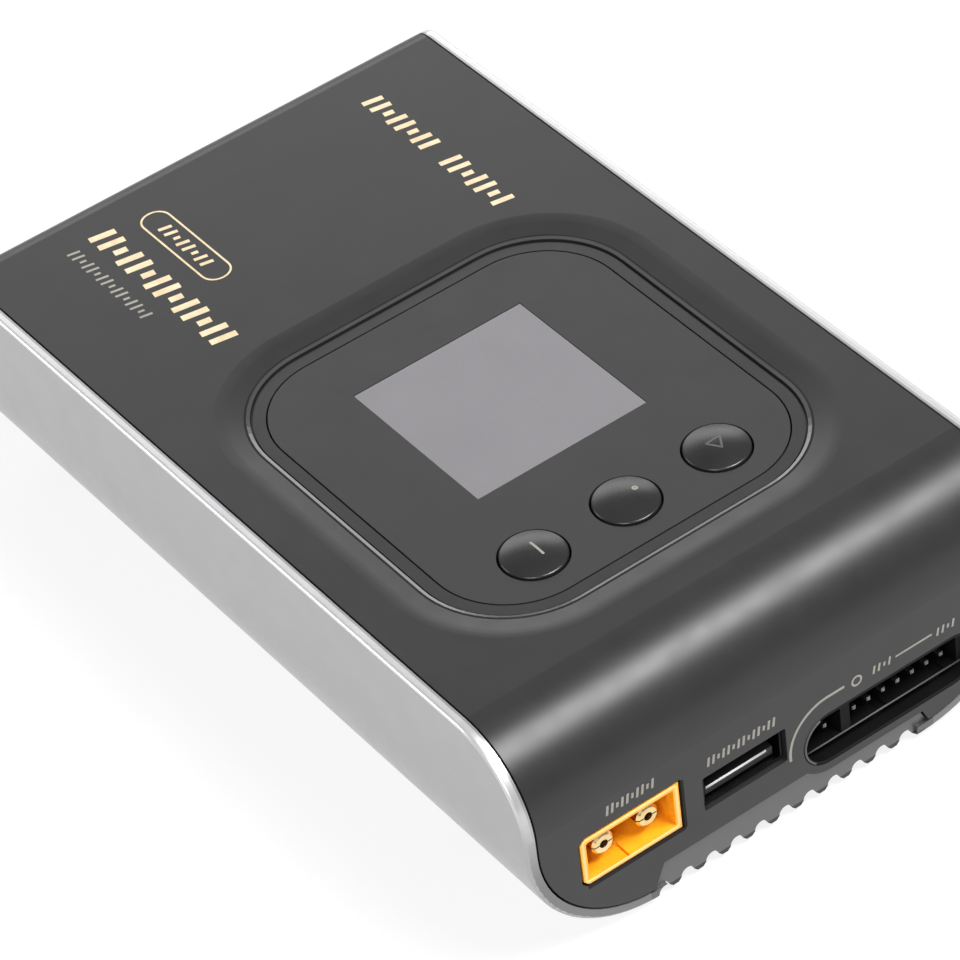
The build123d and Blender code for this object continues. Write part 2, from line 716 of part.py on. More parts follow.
def xt60_shell(contacts):
    """Keyed connector shell, deep cavity in front and a foot on the board."""
    shell = front_plate(xt_outline(0), FRONT_Y + 0.1, FRONT_Y + 14.5)
    shell -= front_plate(xt_outline(-XT_WALL), FRONT_Y - 1, FRONT_Y + XT_DEPTH)
    floor = XT_Z - XT_H / 2 + XT_WALL
    groove_x = (XT_GROOVE_X - XT_GROOVE_W / 2, XT_GROOVE_X + XT_GROOVE_W / 2)
    shell -= block(*groove_x, FRONT_Y, FRONT_Y + XT_GROOVE_L, floor - XT_GROOVE_W, floor + 0.1)
    foot = block(-PCB_HALF + 0.5, XT_X + XT_W / 2, FRONT_Y + 4, FRONT_Y + 14.5, BOARD_Z, XT_Z - 3)
    shell += foot - front_plate(xt_outline(-0.1), FRONT_Y, FRONT_Y + 20)
    for contact in contacts:
        shell -= contact
    return shell


def usb_shell():
    """Folded metal shell with four legs to the board."""
    y0 = USB_EDGE_Y
    y1 = USB_EDGE_Y + USB_LENGTH
    outer = Pos(USB_X, USB_Z) * RectangleRounded(USB_W, USB_H, 0.5)
    inner = Pos(USB_X, USB_Z) * RectangleRounded(USB_W - 2 * USB_SHELL, USB_H - 2 * USB_SHELL, 0.25)
    shell = front_plate(outer, y0, y1) - front_plate(inner, y0 - 1, y1 - USB_SHELL)
    for side in (-1, 1):
        x = USB_X + side * (USB_W / 2 - USB_SHELL / 2)
        for y in (FRONT_Y + 5, FRONT_Y + 12):
            leg = block(x - USB_SHELL / 2, x + USB_SHELL / 2, y - 1, y + 1, BOARD_Z, USB_Z)
            shell += leg
    return shell


def usb_insert():
    """Insulating block with the thin tongue that carries the contacts."""
    half = USB_W / 2 - USB_SHELL - 0.1
    high = USB_Z + USB_H / 2 - USB_SHELL - 0.1
    low = USB_Z - USB_H / 2 + USB_SHELL + 0.1
    back = USB_EDGE_Y + USB_LENGTH - USB_SHELL - 0.1
    base = block(USB_X - half, USB_X + half, USB_BASE_Y, back, low, high)
    reach = USB_TONGUE_W / 2
    tongue = block(USB_X - reach, USB_X + reach, USB_TONGUE_Y, back, USB_TONGUE_LOW, USB_TONGUE_TOP)
    return base + tongue


def usb_contacts():
    """Four spring strips lying on the tongue."""
    strips = []
    for i in range(4):
        x = USB_X + (i - 1.5) * USB_STRIP_PITCH
        strip = block(x - 0.5, x + 0.5, USB_STRIP_Y, USB_BASE_Y, USB_TONGUE_TOP, USB_TONGUE_TOP + 0.2)
        strips.append(chamfer(strip.edges().group_by(Axis.Y)[0], 0.08))
    return strips


def balance_pins():
    """Separate square pins, each bent down to the board behind the housing."""
    pins = []
    half = XH_PIN / 2
    for x in [XH_EXTRA_X] + [XH_X0 + i * XH_PITCH for i in range(XH_COUNT)]:
        shaft = block(x - half, x + half, PIN_TIP_Y, FRONT_Y + 14.5, XH_Z - half, XH_Z + half)
        shaft = chamfer(shaft.edges().group_by(Axis.Y)[0], 0.18)
        leg = block(x - half, x + half, FRONT_Y + 13.86, FRONT_Y + 14.5, BOARD_Z, XH_Z)
        if x <= PCB_HALF:
            shaft += leg
        pins.append(shaft)
    return pins


def balance_header(pins):
    """Round-ended insert with one small and one long pin compartment."""
    flange = front_plate(balance_outline(0.1), FRONT_Y + 0.08, FRONT_Y + 2.6)
    flange -= front_plate(balance_outline(0.1 + BAL_LIP), FRONT_Y - 1, BAL_FACE_Y)
    ends = (BAL_X0 + BAL_ROOM_WALL, BAL_X1 - 2 * BAL_ROOM_WALL)
    body = block(*ends, FRONT_Y + 2.5, FRONT_Y + 12.5, BOARD_Z, BAL_ROOM_TOP + BAL_ROOM_WALL)
    header = flange + body
    opening = balance_outline(0.1 + BAL_LIP)
    depth = FRONT_Y + BAL_ROOM_DEPTH
    middle = (BAL_ROOM_LOW + BAL_ROOM_TOP) / 2
    room_h = BAL_ROOM_TOP - BAL_ROOM_LOW
    left_room = Pos(XH_EXTRA_X - 1.3, middle) * Rectangle(6.2, room_h) & opening
    header -= front_plate(left_room, FRONT_Y, depth)
    last = XH_X0 + (XH_COUNT - 1) * XH_PITCH
    long_room = Pos((XH_X0 + last) / 2, middle) * Rectangle(last - XH_X0 + 2 * XH_SIDE, room_h)
    header -= front_plate(long_room & opening, FRONT_Y, depth)
    ledge = BAL_ROOM_LOW - BAL_LEDGE
    hollow = Pos((BAL_X0 + BAL_X1) / 2, ledge - BAL_R) * Rectangle(BAL_X1 - BAL_X0, 2 * BAL_R) & opening
    header -= front_plate(hollow, FRONT_Y, FRONT_Y + BAL_HOLLOW_DEPTH)
    for i in (1, 5):
        key = XH_X0 + i * XH_PITCH + XH_PITCH / 2
        half = BAL_KEY_W / 2
        header -= block(key - half, key + half, FRONT_Y, depth, ledge - 0.1, BAL_ROOM_LOW + 0.1)
    for pin in pins:
        header -= pin
    return header


# ---------------------------------------------------------------- mains inlet
def mains_pins():
    """Two round mains pins with tails to the power board."""
    pins = []
    for side in (-1, 1):
        x = INLET_X + side * INLET_PITCH / 2
        pin = rod(x, INLET_Z, BACK_Y - 14.5, BACK_Y - 3.0, 2.4)
        pin = fillet(pin.edges().group_by(Axis.Y)[-1], 0.9)
        tail = rod(x, INLET_Z, BACK_Y - 18.5, BACK_Y - 14.5, 1.6)
        pins.append(pin + tail + post(x, BACK_Y - 17.7, BOARD_Z, INLET_Z, 1.5))
    return pins


def mains_inlet(pins):
    """Inlet moulding: figure-of-eight recess, closed back and a foot on the board."""
    body = front_plate(inlet_outline(1.2), BACK_Y - 16.5, BACK_Y - 0.15)
    foot = block(INLET_X - 8, INLET_X + 8, BACK_Y - 16.5, BACK_IN - 1.2, BOARD_Z, INLET_Z)
    recess = front_plate(inlet_outline(0), BACK_Y - 13, BACK_Y + 1)
    inlet = body + foot - recess
    for pin in pins:
        inlet -= pin
    return inlet


# ---------------------------------------------------------------- fan
def fan_frame():
    """Square frame, three struts, hub base and bearing tube."""
    outline = Pos(FAN_X, FAN_Z) * (RectangleRounded(FAN_SIZE, FAN_SIZE, 2.5) - Circle(FAN_BORE_R))
    frame = front_plate(outline, FAN_FRONT, BACK_IN)
    base_y = BACK_IN - 1.7
    base = rod(FAN_X, FAN_Z, base_y, BACK_IN, 14.0)
    tube = rod(FAN_X, FAN_Z, FAN_TUBE_Y, base_y, FAN_TUBE_D)
    for i in range(3):
        outline = Rot(0, 0, 90 + 120 * i) * Pos(10.4, 0) * Rectangle(8.4, 1.8)
        frame += Pos(FAN_X, 0, FAN_Z) * front_plate(outline, base_y + 0.2, BACK_IN)
    frame = frame + base + tube - rod(FAN_X, FAN_Z, FAN_FRONT, BACK_IN - 0.8, FAN_BUSH_D)
    for x, z in fan_holes():
        frame -= rod(x, z, FAN_FRONT - 1, BACK_IN + 1, FAN_SCREW_D + 0.2)
    return frame


def fan_bearing():
    """Sintered bush with running clearance round the shaft."""
    bush = rod(FAN_X, FAN_Z, FAN_TUBE_Y, BACK_IN - 0.8, FAN_BUSH_D)
    return bush - rod(FAN_X, FAN_Z, FAN_FRONT, BACK_IN - 1.2, FAN_SHAFT_D + 0.06)


def fan_stator():
    """Four-pole stator around the bearing tube."""
    ring = rod(FAN_X, FAN_Z, FAN_FRONT + 3.2, FAN_FRONT + 7.4, 11.2)
    for i in range(4):
        turn = Rot(0, 0, 45 + 90 * i)
        gap = front_plate(turn * Pos(4.9, 0) * Rectangle(3.4, 1.6), FAN_FRONT, BACK_IN)
        ring -= Pos(FAN_X, 0, FAN_Z) * gap
    return ring - rod(FAN_X, FAN_Z, FAN_FRONT, BACK_IN, FAN_TUBE_D)


def fan_rotor():
    """Magnet cup with seven pitched blades and the shaft."""
    y0 = FAN_FRONT + 0.8
    y1 = FAN_FRONT + 7.9
    cup = rod(FAN_X, FAN_Z, y0, y1, FAN_HUB_D) - rod(FAN_X, FAN_Z, y0 + 1.2, y1 + 1, FAN_HUB_D - 2)
    shaft = rod(FAN_X, FAN_Z, y0, BACK_IN - 1.5, FAN_SHAFT_D)
    sweep = rod(FAN_X, FAN_Z, y0 + 0.2, y1, 2 * (FAN_BORE_R - 0.6))
    envelope = sweep - rod(FAN_X, FAN_Z, y0 - 1, y1 + 1, FAN_HUB_D - 0.4)
    rotor = cup + shaft
    for i in range(BLADE_COUNT):
        blade = Pos(10.2, 0, 0) * Rot(BLADE_TILT, 0, 0) * Box(7.6, 0.9, 12)
        blade = Rot(0, 0, 360 / BLADE_COUNT * i) * blade
        blade = Pos(FAN_X, (y0 + y1) / 2, FAN_Z) * Rot(90, 0, 0) * blade
        rotor += blade & envelope
    return rotor


def fan_screws():
    """Cross-head screws that hold the fan to the back wall."""
    screws = []
    long = 1.5
    thin = 0.25
    for x, z in fan_holes():
        head = rod(x, z, BACK_Y - FAN_HEAD_H, BACK_Y - 0.1, FAN_HEAD_D)
        head -= block(x - long, x + long, BACK_Y - 0.6, BACK_Y, z - thin, z + thin)
        head -= block(x - thin, x + thin, BACK_Y - 0.6, BACK_Y, z - long, z + long)
        screws.append(head + rod(x, z, FAN_FRONT + 1, BACK_Y - FAN_HEAD_H, FAN_SCREW_D))
    return screws


# ---------------------------------------------------------------- power components
def transformer_core():
    """Ferrite core with two windows beside the centre leg."""
    x0 = TRAFO_X - TRAFO_W / 2
    half_y = TRAFO_D / 2
    core = block(x0, x0 + TRAFO_W, TRAFO_Y - half_y, TRAFO_Y + half_y, TRAFO_LOW, TRAFO_LOW + TRAFO_H)
    for side in (-1, 1):
        near = TRAFO_X + side * LEG_W / 2
        far = near + side * WINDOW_W
        low = min(near, far)
        window = (TRAFO_LOW + YOKE, TRAFO_LOW + TRAFO_H - YOKE)
        core -= block(low, low + WINDOW_W, TRAFO_Y - TRAFO_D, TRAFO_Y + TRAFO_D, *window)
    return core


def coil_block(half_x, half_y, z0, z1):
    """Round-cornered block centred on the transformer."""
    outline = Pos(TRAFO_X, TRAFO_Y) * RectangleRounded(2 * half_x, 2 * half_y, 1.4)
    return plate(outline, z0, z1)


def centre_leg(gap):
    """Room for the core's centre leg, with a gap all round."""
    half_x = LEG_W / 2 + gap
    half_y = TRAFO_D / 2 + gap
    return block(TRAFO_X - half_x, TRAFO_X + half_x, TRAFO_Y - half_y, TRAFO_Y + half_y, 0, 2 * HEIGHT)


def transformer_bobbin():
    """Tube round the centre leg, two flanges and the pin rails."""
    low = TRAFO_LOW + YOKE + 0.1
    high = TRAFO_LOW + TRAFO_H - YOKE - 0.1
    tube = coil_block(LEG_W / 2 + 0.9, TRAFO_D / 2 + 0.9, low, high)
    bobbin = tube + coil_block(*BOBBIN_HALF, low, low + 0.9) + coil_block(*BOBBIN_HALF, high - 0.9, high)
    for side in (-1, 1):
        y = TRAFO_Y + side * 8.4
        half = BOBBIN_HALF[0]
        bobbin += block(TRAFO_X - half, TRAFO_X + half, y - 1.9, y + 1.9, BOARD_Z, low + 0.5)
    return bobbin - centre_leg(0.1)


def transformer_winding():
    """Taped coil between the bobbin's flanges."""
    low = TRAFO_LOW + YOKE + 1.0
    high = TRAFO_LOW + TRAFO_H - YOKE - 1.0
    return coil_block(*COIL_HALF, low, high) - centre_leg(0.9)


def choke_core():
    """Square ferrite ring standing on the board."""
    x0 = CHOKE_X - CHOKE_W / 2
    x1 = CHOKE_X + CHOKE_W / 2
    half = CHOKE_T / 2
    core = block(x0, x1, CHOKE_Y - half, CHOKE_Y + half, CHOKE_LOW, CHOKE_TOP)
    window = (CHOKE_LOW + CHOKE_YOKE, CHOKE_TOP - CHOKE_YOKE)
    return core - block(x0 + CHOKE_LEG, x1 - CHOKE_LEG, CHOKE_Y - CHOKE_T, CHOKE_Y + CHOKE_T, *window)


def choke_windings():
    """Coils on the two legs of the choke, reaching down to the board."""
    coils = []
    for side in (-1, 1):
        x = CHOKE_X + side * (CHOKE_W - CHOKE_LEG) / 2
        outline = Pos(x, CHOKE_Y) * RectangleRounded(CHOKE_LEG + 3, CHOKE_T + 3.4, 1.2)
        coil = plate(outline, CHOKE_LOW + CHOKE_YOKE + 0.2, CHOKE_TOP - CHOKE_YOKE - 0.2)
        coil += block(x - 0.5, x + 0.5, CHOKE_Y + 3.0, CHOKE_Y + 4.0, BOARD_Z, BOARD_Z + 5)
        half = (CHOKE_LEG / 2, CHOKE_T / 2)
        hole = block(x - half[0], x + half[0], CHOKE_Y - half[1], CHOKE_Y + half[1], BOARD_Z, CHOKE_TOP)
        coils.append(coil - hole)
    return coils


def bulk_capacitor():
    """Large electrolytic lying on the board, with the usual crimp groove."""
    z = BOARD_Z + BULK_R
    can = rod(BULK_X, z, *BULK_Y, 2 * BULK_R)
    can = fillet(can.edges(), 0.7)
    y0 = BULK_Y[0] + 2.4
    groove = rod(BULK_X, z, y0, y0 + 1, 2 * BULK_R + 2) - rod(BULK_X, z, y0, y0 + 1, 2 * BULK_R - 0.8)
    return can - groove


def standing_capacitor(x, y, diameter, height):
    """Upright can with a crimp groove near its foot."""
    can = post(x, y, BOARD_Z, BOARD_Z + height, diameter)
    can = fillet(can.edges().group_by(Axis.Z)[-1], 0.6)
    ring = post(x, y, BOARD_Z + 1.6, BOARD_Z + 2.4, diameter + 1)
    ring -= post(x, y, BOARD_Z, BOARD_Z + 4, diameter - 0.7)
    return can - ring


def output_capacitors():
    """Two cans on each board."""
    return [standing_capacitor(*spot) for spot in OUTPUT_CAPS]


def heatsink():
    """Extruded aluminium fins along the board edge."""
    sink = block(HEATSINK_X, HEATSINK_X + 1.8, *HEATSINK_Y, BOARD_Z, BOARD_Z + HEATSINK_H)
    for i in range(FIN_COUNT):
        z = BOARD_Z + 2.5 + i * FIN_PITCH
        sink += block(HEATSINK_X + 1.7, HEATSINK_X + 6.5, *HEATSINK_Y, z, z + 1.1)
    return sink


def power_transistors():
    """Two flat-backed packages against the heatsink."""
    parts = []
    x1 = HEATSINK_X
    for y in TRANSISTOR_YS:
        tab = block(x1 - 1.3, x1, y - 5, y + 5, BOARD_Z + 3, BOARD_Z + 18.5)
        body = block(x1 - 3.2, x1 - 1.3, y - 5, y + 5, BOARD_Z + 3, BOARD_Z + 12)
        package = tab + body
        for i in range(3):
            leg_y = y + (i - 1) * TRANSISTOR_LEG_PITCH
            package += block(x1 - 2.3, x1 - 1.8, leg_y - 0.4, leg_y + 0.4, BOARD_Z, BOARD_Z + 3.2)
        package -= Pos(x1, y, BOARD_Z + 15.6) * Rot(0, 90, 0) * Cylinder(1.8, 8)
        parts.append(package)
    return parts


def fuse():
    """Ceramic tube fuse in two clips."""
    z = BOARD_Z + 4.2
    middle = sum(FUSE_CLIP_XS) / 2
    tube = Pos(middle, FUSE_Y, z) * Rot(0, 90, 0) * Cylinder(2.5, 20)
    caps = [Pos(x, FUSE_Y, z) * Rot(0, 90, 0) * Cylinder(2.7, 5) for x in FUSE_CLIP_XS]
    clips = [block(x - 2, x + 2, FUSE_Y - 2, FUSE_Y + 2, BOARD_Z, z) for x in FUSE_CLIP_XS]
    return join([tube] + caps + clips)


def bridge_rectifier():
    """Flat package on four legs, one upper corner cut."""
    body = block(*BRIDGE_X, 6.0, 9.5, BOARD_Z + 3, BOARD_Z + 14)
    body = chamfer(body.edges().filter_by(Axis.Y).sort_by(Axis.X)[-1:], 2)
    for i in range(4):
        x = BRIDGE_X[0] + 1.4 + i * BRIDGE_LEG_PITCH
        body += block(x - 0.5, x + 0.5, 7.4, 8.0, BOARD_Z, BOARD_Z + 3.1)
    return body


# ---------------------------------------------------------------- main board components
def power_inductors():
    """Two shielded coils."""
    coils = []
    for x, y in INDUCTOR_SPOTS:
        case = plate(Pos(x, y) * RectangleRounded(INDUCTOR_W, INDUCTOR_W, 2.5), BOARD_Z, BOARD_Z + 7)
        coils.append(chamfer(case.edges().group_by(Axis.Z)[-1], 0.5))
    return coils


def control_chips():
    """Controller, three drivers and the balance chip."""
    chips = [block(6, 16, -36, -26, BOARD_Z, BOARD_Z + 1.4)]
    for y in DRIVER_YS:
        chips.append(block(20.5, 25.5, y, y + 4, BOARD_Z, BOARD_Z + 1.6))
    chips.append(block(-3, 3, -48, -42, BOARD_Z, BOARD_Z + 1.0))
    return chips


def balance_resistors():
    """One flat resistor for each balance pin."""
    return [
        block(6 + i * XH_PITCH, 7.6 + i * XH_PITCH, -50.5, -47.3, BOARD_Z, BOARD_Z + 0.6)
        for i in range(XH_COUNT)
    ]


def buzzer():
    """Round sounder with its hole on top."""
    can = post(BUZZER_X, BUZZER_Y, BOARD_Z, BOARD_Z + 7.5, 12.0)
    can = fillet(can.edges().group_by(Axis.Z)[-1], 0.5)
    return can - post(BUZZER_X, BUZZER_Y, BOARD_Z + 5.0, BOARD_Z + 9, 2.2)


# ---------------------------------------------------------------- write the nodes
def main():
    """Build every node and write its file."""
    os.makedirs("parts", exist_ok=True)
    power_pins = xt60_contacts()
    signal_pins = balance_pins()
    ac_pins = mains_pins()
    nodes = {
        "bottom_tray": bottom_tray(),
        "top_cover": top_cover(),
        "case_screws": case_screws(),
        "rubber_feet": rubber_feet(),
        "display_panel": display_panel(),
        "panel_gasket": panel_gasket(),
        "display_lens": display_lens(),
        "lcd_module": lcd_module(),
        "lcd_carrier": lcd_carrier(),
        "tact_switches": tact_switches(),
        "display_pcb": display_pcb(),
        "display_screws": display_screws(),
        "ribbon_sockets": ribbon_sockets(),
        "display_ribbon": display_ribbon(),
        "main_pcb": main_pcb(),
        "power_pcb": power_pcb(),
        "pcb_screws": pcb_screws(),
        "insulator_sheet": insulator_sheet(),
        "link_bars": link_bars(),
        "xt60_contacts": power_pins,
        "xt60_shell": xt60_shell(power_pins),
        "usb_shell": usb_shell(),
        "usb_insert": usb_insert(),
        "usb_contacts": usb_contacts(),
        "balance_pins": signal_pins,
        "balance_header": balance_header(signal_pins),
        "mains_pins": ac_pins,
        "mains_inlet": mains_inlet(ac_pins),
        "fan_frame": fan_frame(),
        "fan_bearing": fan_bearing(),
        "fan_stator": fan_stator(),
        "fan_rotor": fan_rotor(),
        "fan_screws": fan_screws(),
        "transformer_core": transformer_core(),
        "transformer_bobbin": transformer_bobbin(),
        "transformer_winding": transformer_winding(),
        "choke_core": choke_core(),
        "choke_windings": choke_windings(),
        "bulk_capacitor": bulk_capacitor(),
        "output_capacitors": output_capacitors(),
        "heatsink": heatsink(),
        "power_transistors": power_transistors(),
        "fuse": fuse(),
        "bridge_rectifier": bridge_rectifier(),
        "power_inductors": power_inductors(),
        "control_chips": control_chips(),
        "balance_resistors": balance_resistors(),
        "buzzer": buzzer(),
    }
    for side, x in BUTTONS.items():
        nodes[f"button_{side}"] = button(x)
        nodes[f"plunger_{side}"] = plunger(x)
    for name, shape in nodes.items():
        save(name, shape)


main()
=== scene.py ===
"""Balance battery charger: finishes, printed marks, small details, studio and camera.
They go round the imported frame, in metres and in its own axes: +Z up, ports towards -Y."""

import json
import math

import bmesh
import bpy
from mathutils import Matrix, Vector


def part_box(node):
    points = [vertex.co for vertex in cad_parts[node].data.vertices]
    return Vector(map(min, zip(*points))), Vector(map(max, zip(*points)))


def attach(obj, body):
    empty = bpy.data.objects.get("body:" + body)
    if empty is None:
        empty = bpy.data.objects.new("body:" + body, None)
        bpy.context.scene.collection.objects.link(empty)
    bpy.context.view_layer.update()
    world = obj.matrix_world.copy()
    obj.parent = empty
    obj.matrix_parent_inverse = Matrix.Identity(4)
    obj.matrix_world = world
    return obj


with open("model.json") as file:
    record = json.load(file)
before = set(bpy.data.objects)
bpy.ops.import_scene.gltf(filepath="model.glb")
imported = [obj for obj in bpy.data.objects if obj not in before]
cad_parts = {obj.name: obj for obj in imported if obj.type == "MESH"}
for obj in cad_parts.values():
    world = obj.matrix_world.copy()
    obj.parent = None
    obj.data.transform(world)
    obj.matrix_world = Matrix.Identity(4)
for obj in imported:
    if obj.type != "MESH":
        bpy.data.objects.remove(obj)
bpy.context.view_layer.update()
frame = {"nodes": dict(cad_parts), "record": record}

MM = 0.001

# ---------------------------------------------------------------- places taken from the frame
COVER_LOW, COVER_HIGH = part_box("top_cover")
PANEL_LOW, PANEL_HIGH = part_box("display_panel")
XT_LOW, XT_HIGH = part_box("xt60_shell")
USB_LOW, USB_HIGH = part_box("usb_insert")
TOP_Z = COVER_HIGH.z
FRONT_Y = COVER_LOW.y
INK = 0.03                 # thickness of the printed marks, mm
INTAKE_BOX = ((-23.9, -67.5, -1.0), (23.9, -43.0, 6.6))     # air intake at the tray's front, mm
TOOTH_SHADE_BOX = ((-21.2, -67.5, -1.0), (22.4, -43.0, 1.5))      # lower ends of its ribs, painted dark as their shade
RIM_LEFT_BOX = ((-41.97, -68.0, 20.7), (-40.75, 67.28, 37.0))   # tray's top edges, where a highlight is painted
RIM_RIGHT_BOX = ((40.75, -68.0, 20.7), (41.97, 67.28, 37.0))
RIM_FRONT_BOX = ((-42.1, -67.4, 0.0), (42.1, -67.28, 30.0))     # their flat end round the port face
RIM_HIGHLIGHT_Z = (22, 33)                                         # the painted highlight comes in between these heights
RIM_SHADE_Z = (27, 14)                                          # and the painted shade of the flat end, darker towards the bottom
CAVITY_BOX = ((-33.2, -65.6, 10.0), (-18.5, -50.0, 18.4))       # inside the battery connector, where shade is painted
CAVITY_SHADE_Z = (12.5, 17.0)                                    # the painted shade deepens between these heights
NOISE_LOW = 0.3            # noise factors seldom leave this range
NOISE_HIGH = 0.7


# ---------------------------------------------------------------- material helpers
class Finish:
    """A Principled material with object-space texture nodes to build on."""

    def __init__(self, name, roughness, metallic=0.0, specular=0.5):
        self.material = bpy.data.materials.new(name)
        self.material.use_nodes = True
        self.tree = self.material.node_tree
        self.shader = self.tree.nodes["Principled BSDF"]
        self.shader.inputs["Roughness"].default_value = roughness
        self.shader.inputs["Metallic"].default_value = metallic
        self.shader.inputs["Specular IOR Level"].default_value = specular
        self.coords = self.tree.nodes.new("ShaderNodeTexCoord").outputs["Object"]

    def link(self, source, target):
        self.tree.links.new(source, target)

    def stretched(self, scale):
        """Object coordinates scaled per axis."""
        mapping = self.tree.nodes.new("ShaderNodeMapping")
        mapping.inputs["Scale"].default_value = scale
        self.link(self.coords, mapping.inputs["Vector"])
        return mapping.outputs["Vector"]

    def noise(self, size_mm, detail, stretch=(1, 1, 1)):
        """Noise whose lumps are about size_mm across."""
        node = self.tree.nodes.new("ShaderNodeTexNoise")
        node.inputs["Scale"].default_value = 1 / (size_mm * MM)
        node.inputs["Detail"].default_value = detail
        self.link(self.stretched(stretch), node.inputs["Vector"])
        return node.outputs["Fac"]

    def colour(self, factor, dark, light, low=0.35, high=0.65):
        """Base colour that drifts between two near shades, as the factor goes from low to high."""
        node = self.tree.nodes.new("ShaderNodeValToRGB")
        for element, position, colour in zip(node.color_ramp.elements, (low, high), (dark, light)):
            element.position = position
            element.color = (*colour, 1)
        self.link(factor, node.inputs["Fac"])
        self.link(node.outputs["Color"], self.shader.inputs["Base Color"])

    def inside(self, low_mm, high_mm):
        """1 inside a box given by two corners in millimetres, 0 outside."""
        low = Vector(low_mm) * MM
        high = Vector(high_mm) * MM
        offset = self.tree.nodes.new("ShaderNodeVectorMath")
        offset.operation = "SUBTRACT"
        offset.inputs[1].default_value = (low + high) / 2
        self.link(self.coords, offset.inputs[0])
        reach = self.tree.nodes.new("ShaderNodeVectorMath")
        reach.operation = "ABSOLUTE"
        self.link(offset.outputs["Vector"], reach.inputs[0])
        axes = self.tree.nodes.new("ShaderNodeSeparateXYZ")
        self.link(reach.outputs["Vector"], axes.inputs["Vector"])
        within = []
        for axis, half in zip(axes.outputs, (high - low) / 2):
            test = self.tree.nodes.new("ShaderNodeMath")
            test.operation = "LESS_THAN"
            test.inputs[1].default_value = half
            self.link(axis, test.inputs[0])
            within.append(test.outputs[0])
        return self.both(self.both(within[0], within[1]), within[2])

    def fade(self, start_mm, end_mm):
        """0 at one height, 1 at the other, smooth between."""
        axes = self.tree.nodes.new("ShaderNodeSeparateXYZ")
        self.link(self.coords, axes.inputs["Vector"])
        node = self.tree.nodes.new("ShaderNodeMapRange")
        node.interpolation_type = "SMOOTHSTEP"
        node.inputs["From Min"].default_value = start_mm * MM
        node.inputs["From Max"].default_value = end_mm * MM
        self.link(axes.outputs["Z"], node.inputs["Value"])
        return node.outputs["Result"]

    def both(self, first, second):
        """Product of two factors."""
        node = self.tree.nodes.new("ShaderNodeMath")
        node.operation = "MULTIPLY"
        self.link(first, node.inputs[0])
        self.link(second, node.inputs[1])
        return node.outputs[0]

    def recolour(self, factor, colour):
        """Where the factor is 1, replace the base colour."""
        base = self.shader.inputs["Base Color"]
        mix = self.tree.nodes.new("ShaderNodeMix")
        mix.data_type = "RGBA"
        self.link(factor, mix.inputs["Factor"])
        self.link(base.links[0].from_socket, mix.inputs["A"])
        mix.inputs["B"].default_value = (*colour, 1)
        self.link(mix.outputs["Result"], base)

    def gloss(self, factor, low, high):
        """Roughness that varies over the surface between two limits."""
        node = self.tree.nodes.new("ShaderNodeMapRange")
        node.inputs["From Min"].default_value = NOISE_LOW
        node.inputs["From Max"].default_value = NOISE_HIGH
        node.inputs["To Min"].default_value = low
        node.inputs["To Max"].default_value = high
        self.link(factor, node.inputs["Value"])
        self.link(node.outputs["Result"], self.shader.inputs["Roughness"])

    def bump(self, height, depth_mm):
        """Fine relief, stacked on any earlier relief."""
        node = self.tree.nodes.new("ShaderNodeBump")
        node.inputs["Distance"].default_value = depth_mm * MM
        self.link(height, node.inputs["Height"])
        normal = self.shader.inputs["Normal"]
        if normal.is_linked:
            self.link(normal.links[0].from_socket, node.inputs["Normal"])
        self.link(node.outputs["Normal"], normal)


def shade(value, tint=(1, 1, 1)):
    """Grey with a slight tint."""
    return tuple(value * t for t in tint)


def moulded(name, value, spread, roughness, grain_mm, depth_mm, tint=(1, 1, 1), specular=0.5):
    """Moulded plastic: a grey value that drifts by the spread, a roughness range and a fine grain."""
    finish = Finish(name, roughness[0], specular=specular)
    drift = finish.noise(9, 3)
    finish.colour(drift, shade(value * (1 - spread), tint), shade(value * (1 + spread), tint))
    finish.gloss(finish.noise(4, 5), *roughness)
    finish.bump(finish.noise(grain_mm, 2), depth_mm)
    return finish


def metal(name, dark, light, roughness, streak=(1, 1, 1), streak_mm=0.3, depth_mm=0.004):
    """Bare or plated metal between two shades, with a roughness range and faint streaks."""
    finish = Finish(name, roughness[0], metallic=1.0)
    finish.colour(finish.noise(3, 4), dark, light)
    finish.gloss(finish.noise(streak_mm, 4, stretch=streak), *roughness)
    finish.bump(finish.noise(streak_mm, 3, stretch=streak), depth_mm)
    return finish


# ---------------------------------------------------------------- finishes, one for each material slot
CONDUCTOR_MM = 3.2         # texture scales of the ribbon, the boards and the transformer's tape
TRACK_MM = 6.0
TURN_MM = 4.0


def cover_dark():
    """Soft-touch painted cover: near-black grey with a satin sheen and orange-peel ripple."""
    finish = moulded("cover_dark", 0.020, 0.05, (0.33, 0.38), 0.22, 0.0012, (1.0, 0.975, 1.02), 0.42)
    finish.bump(finish.noise(2.2, 2), 0.0022)
    return finish


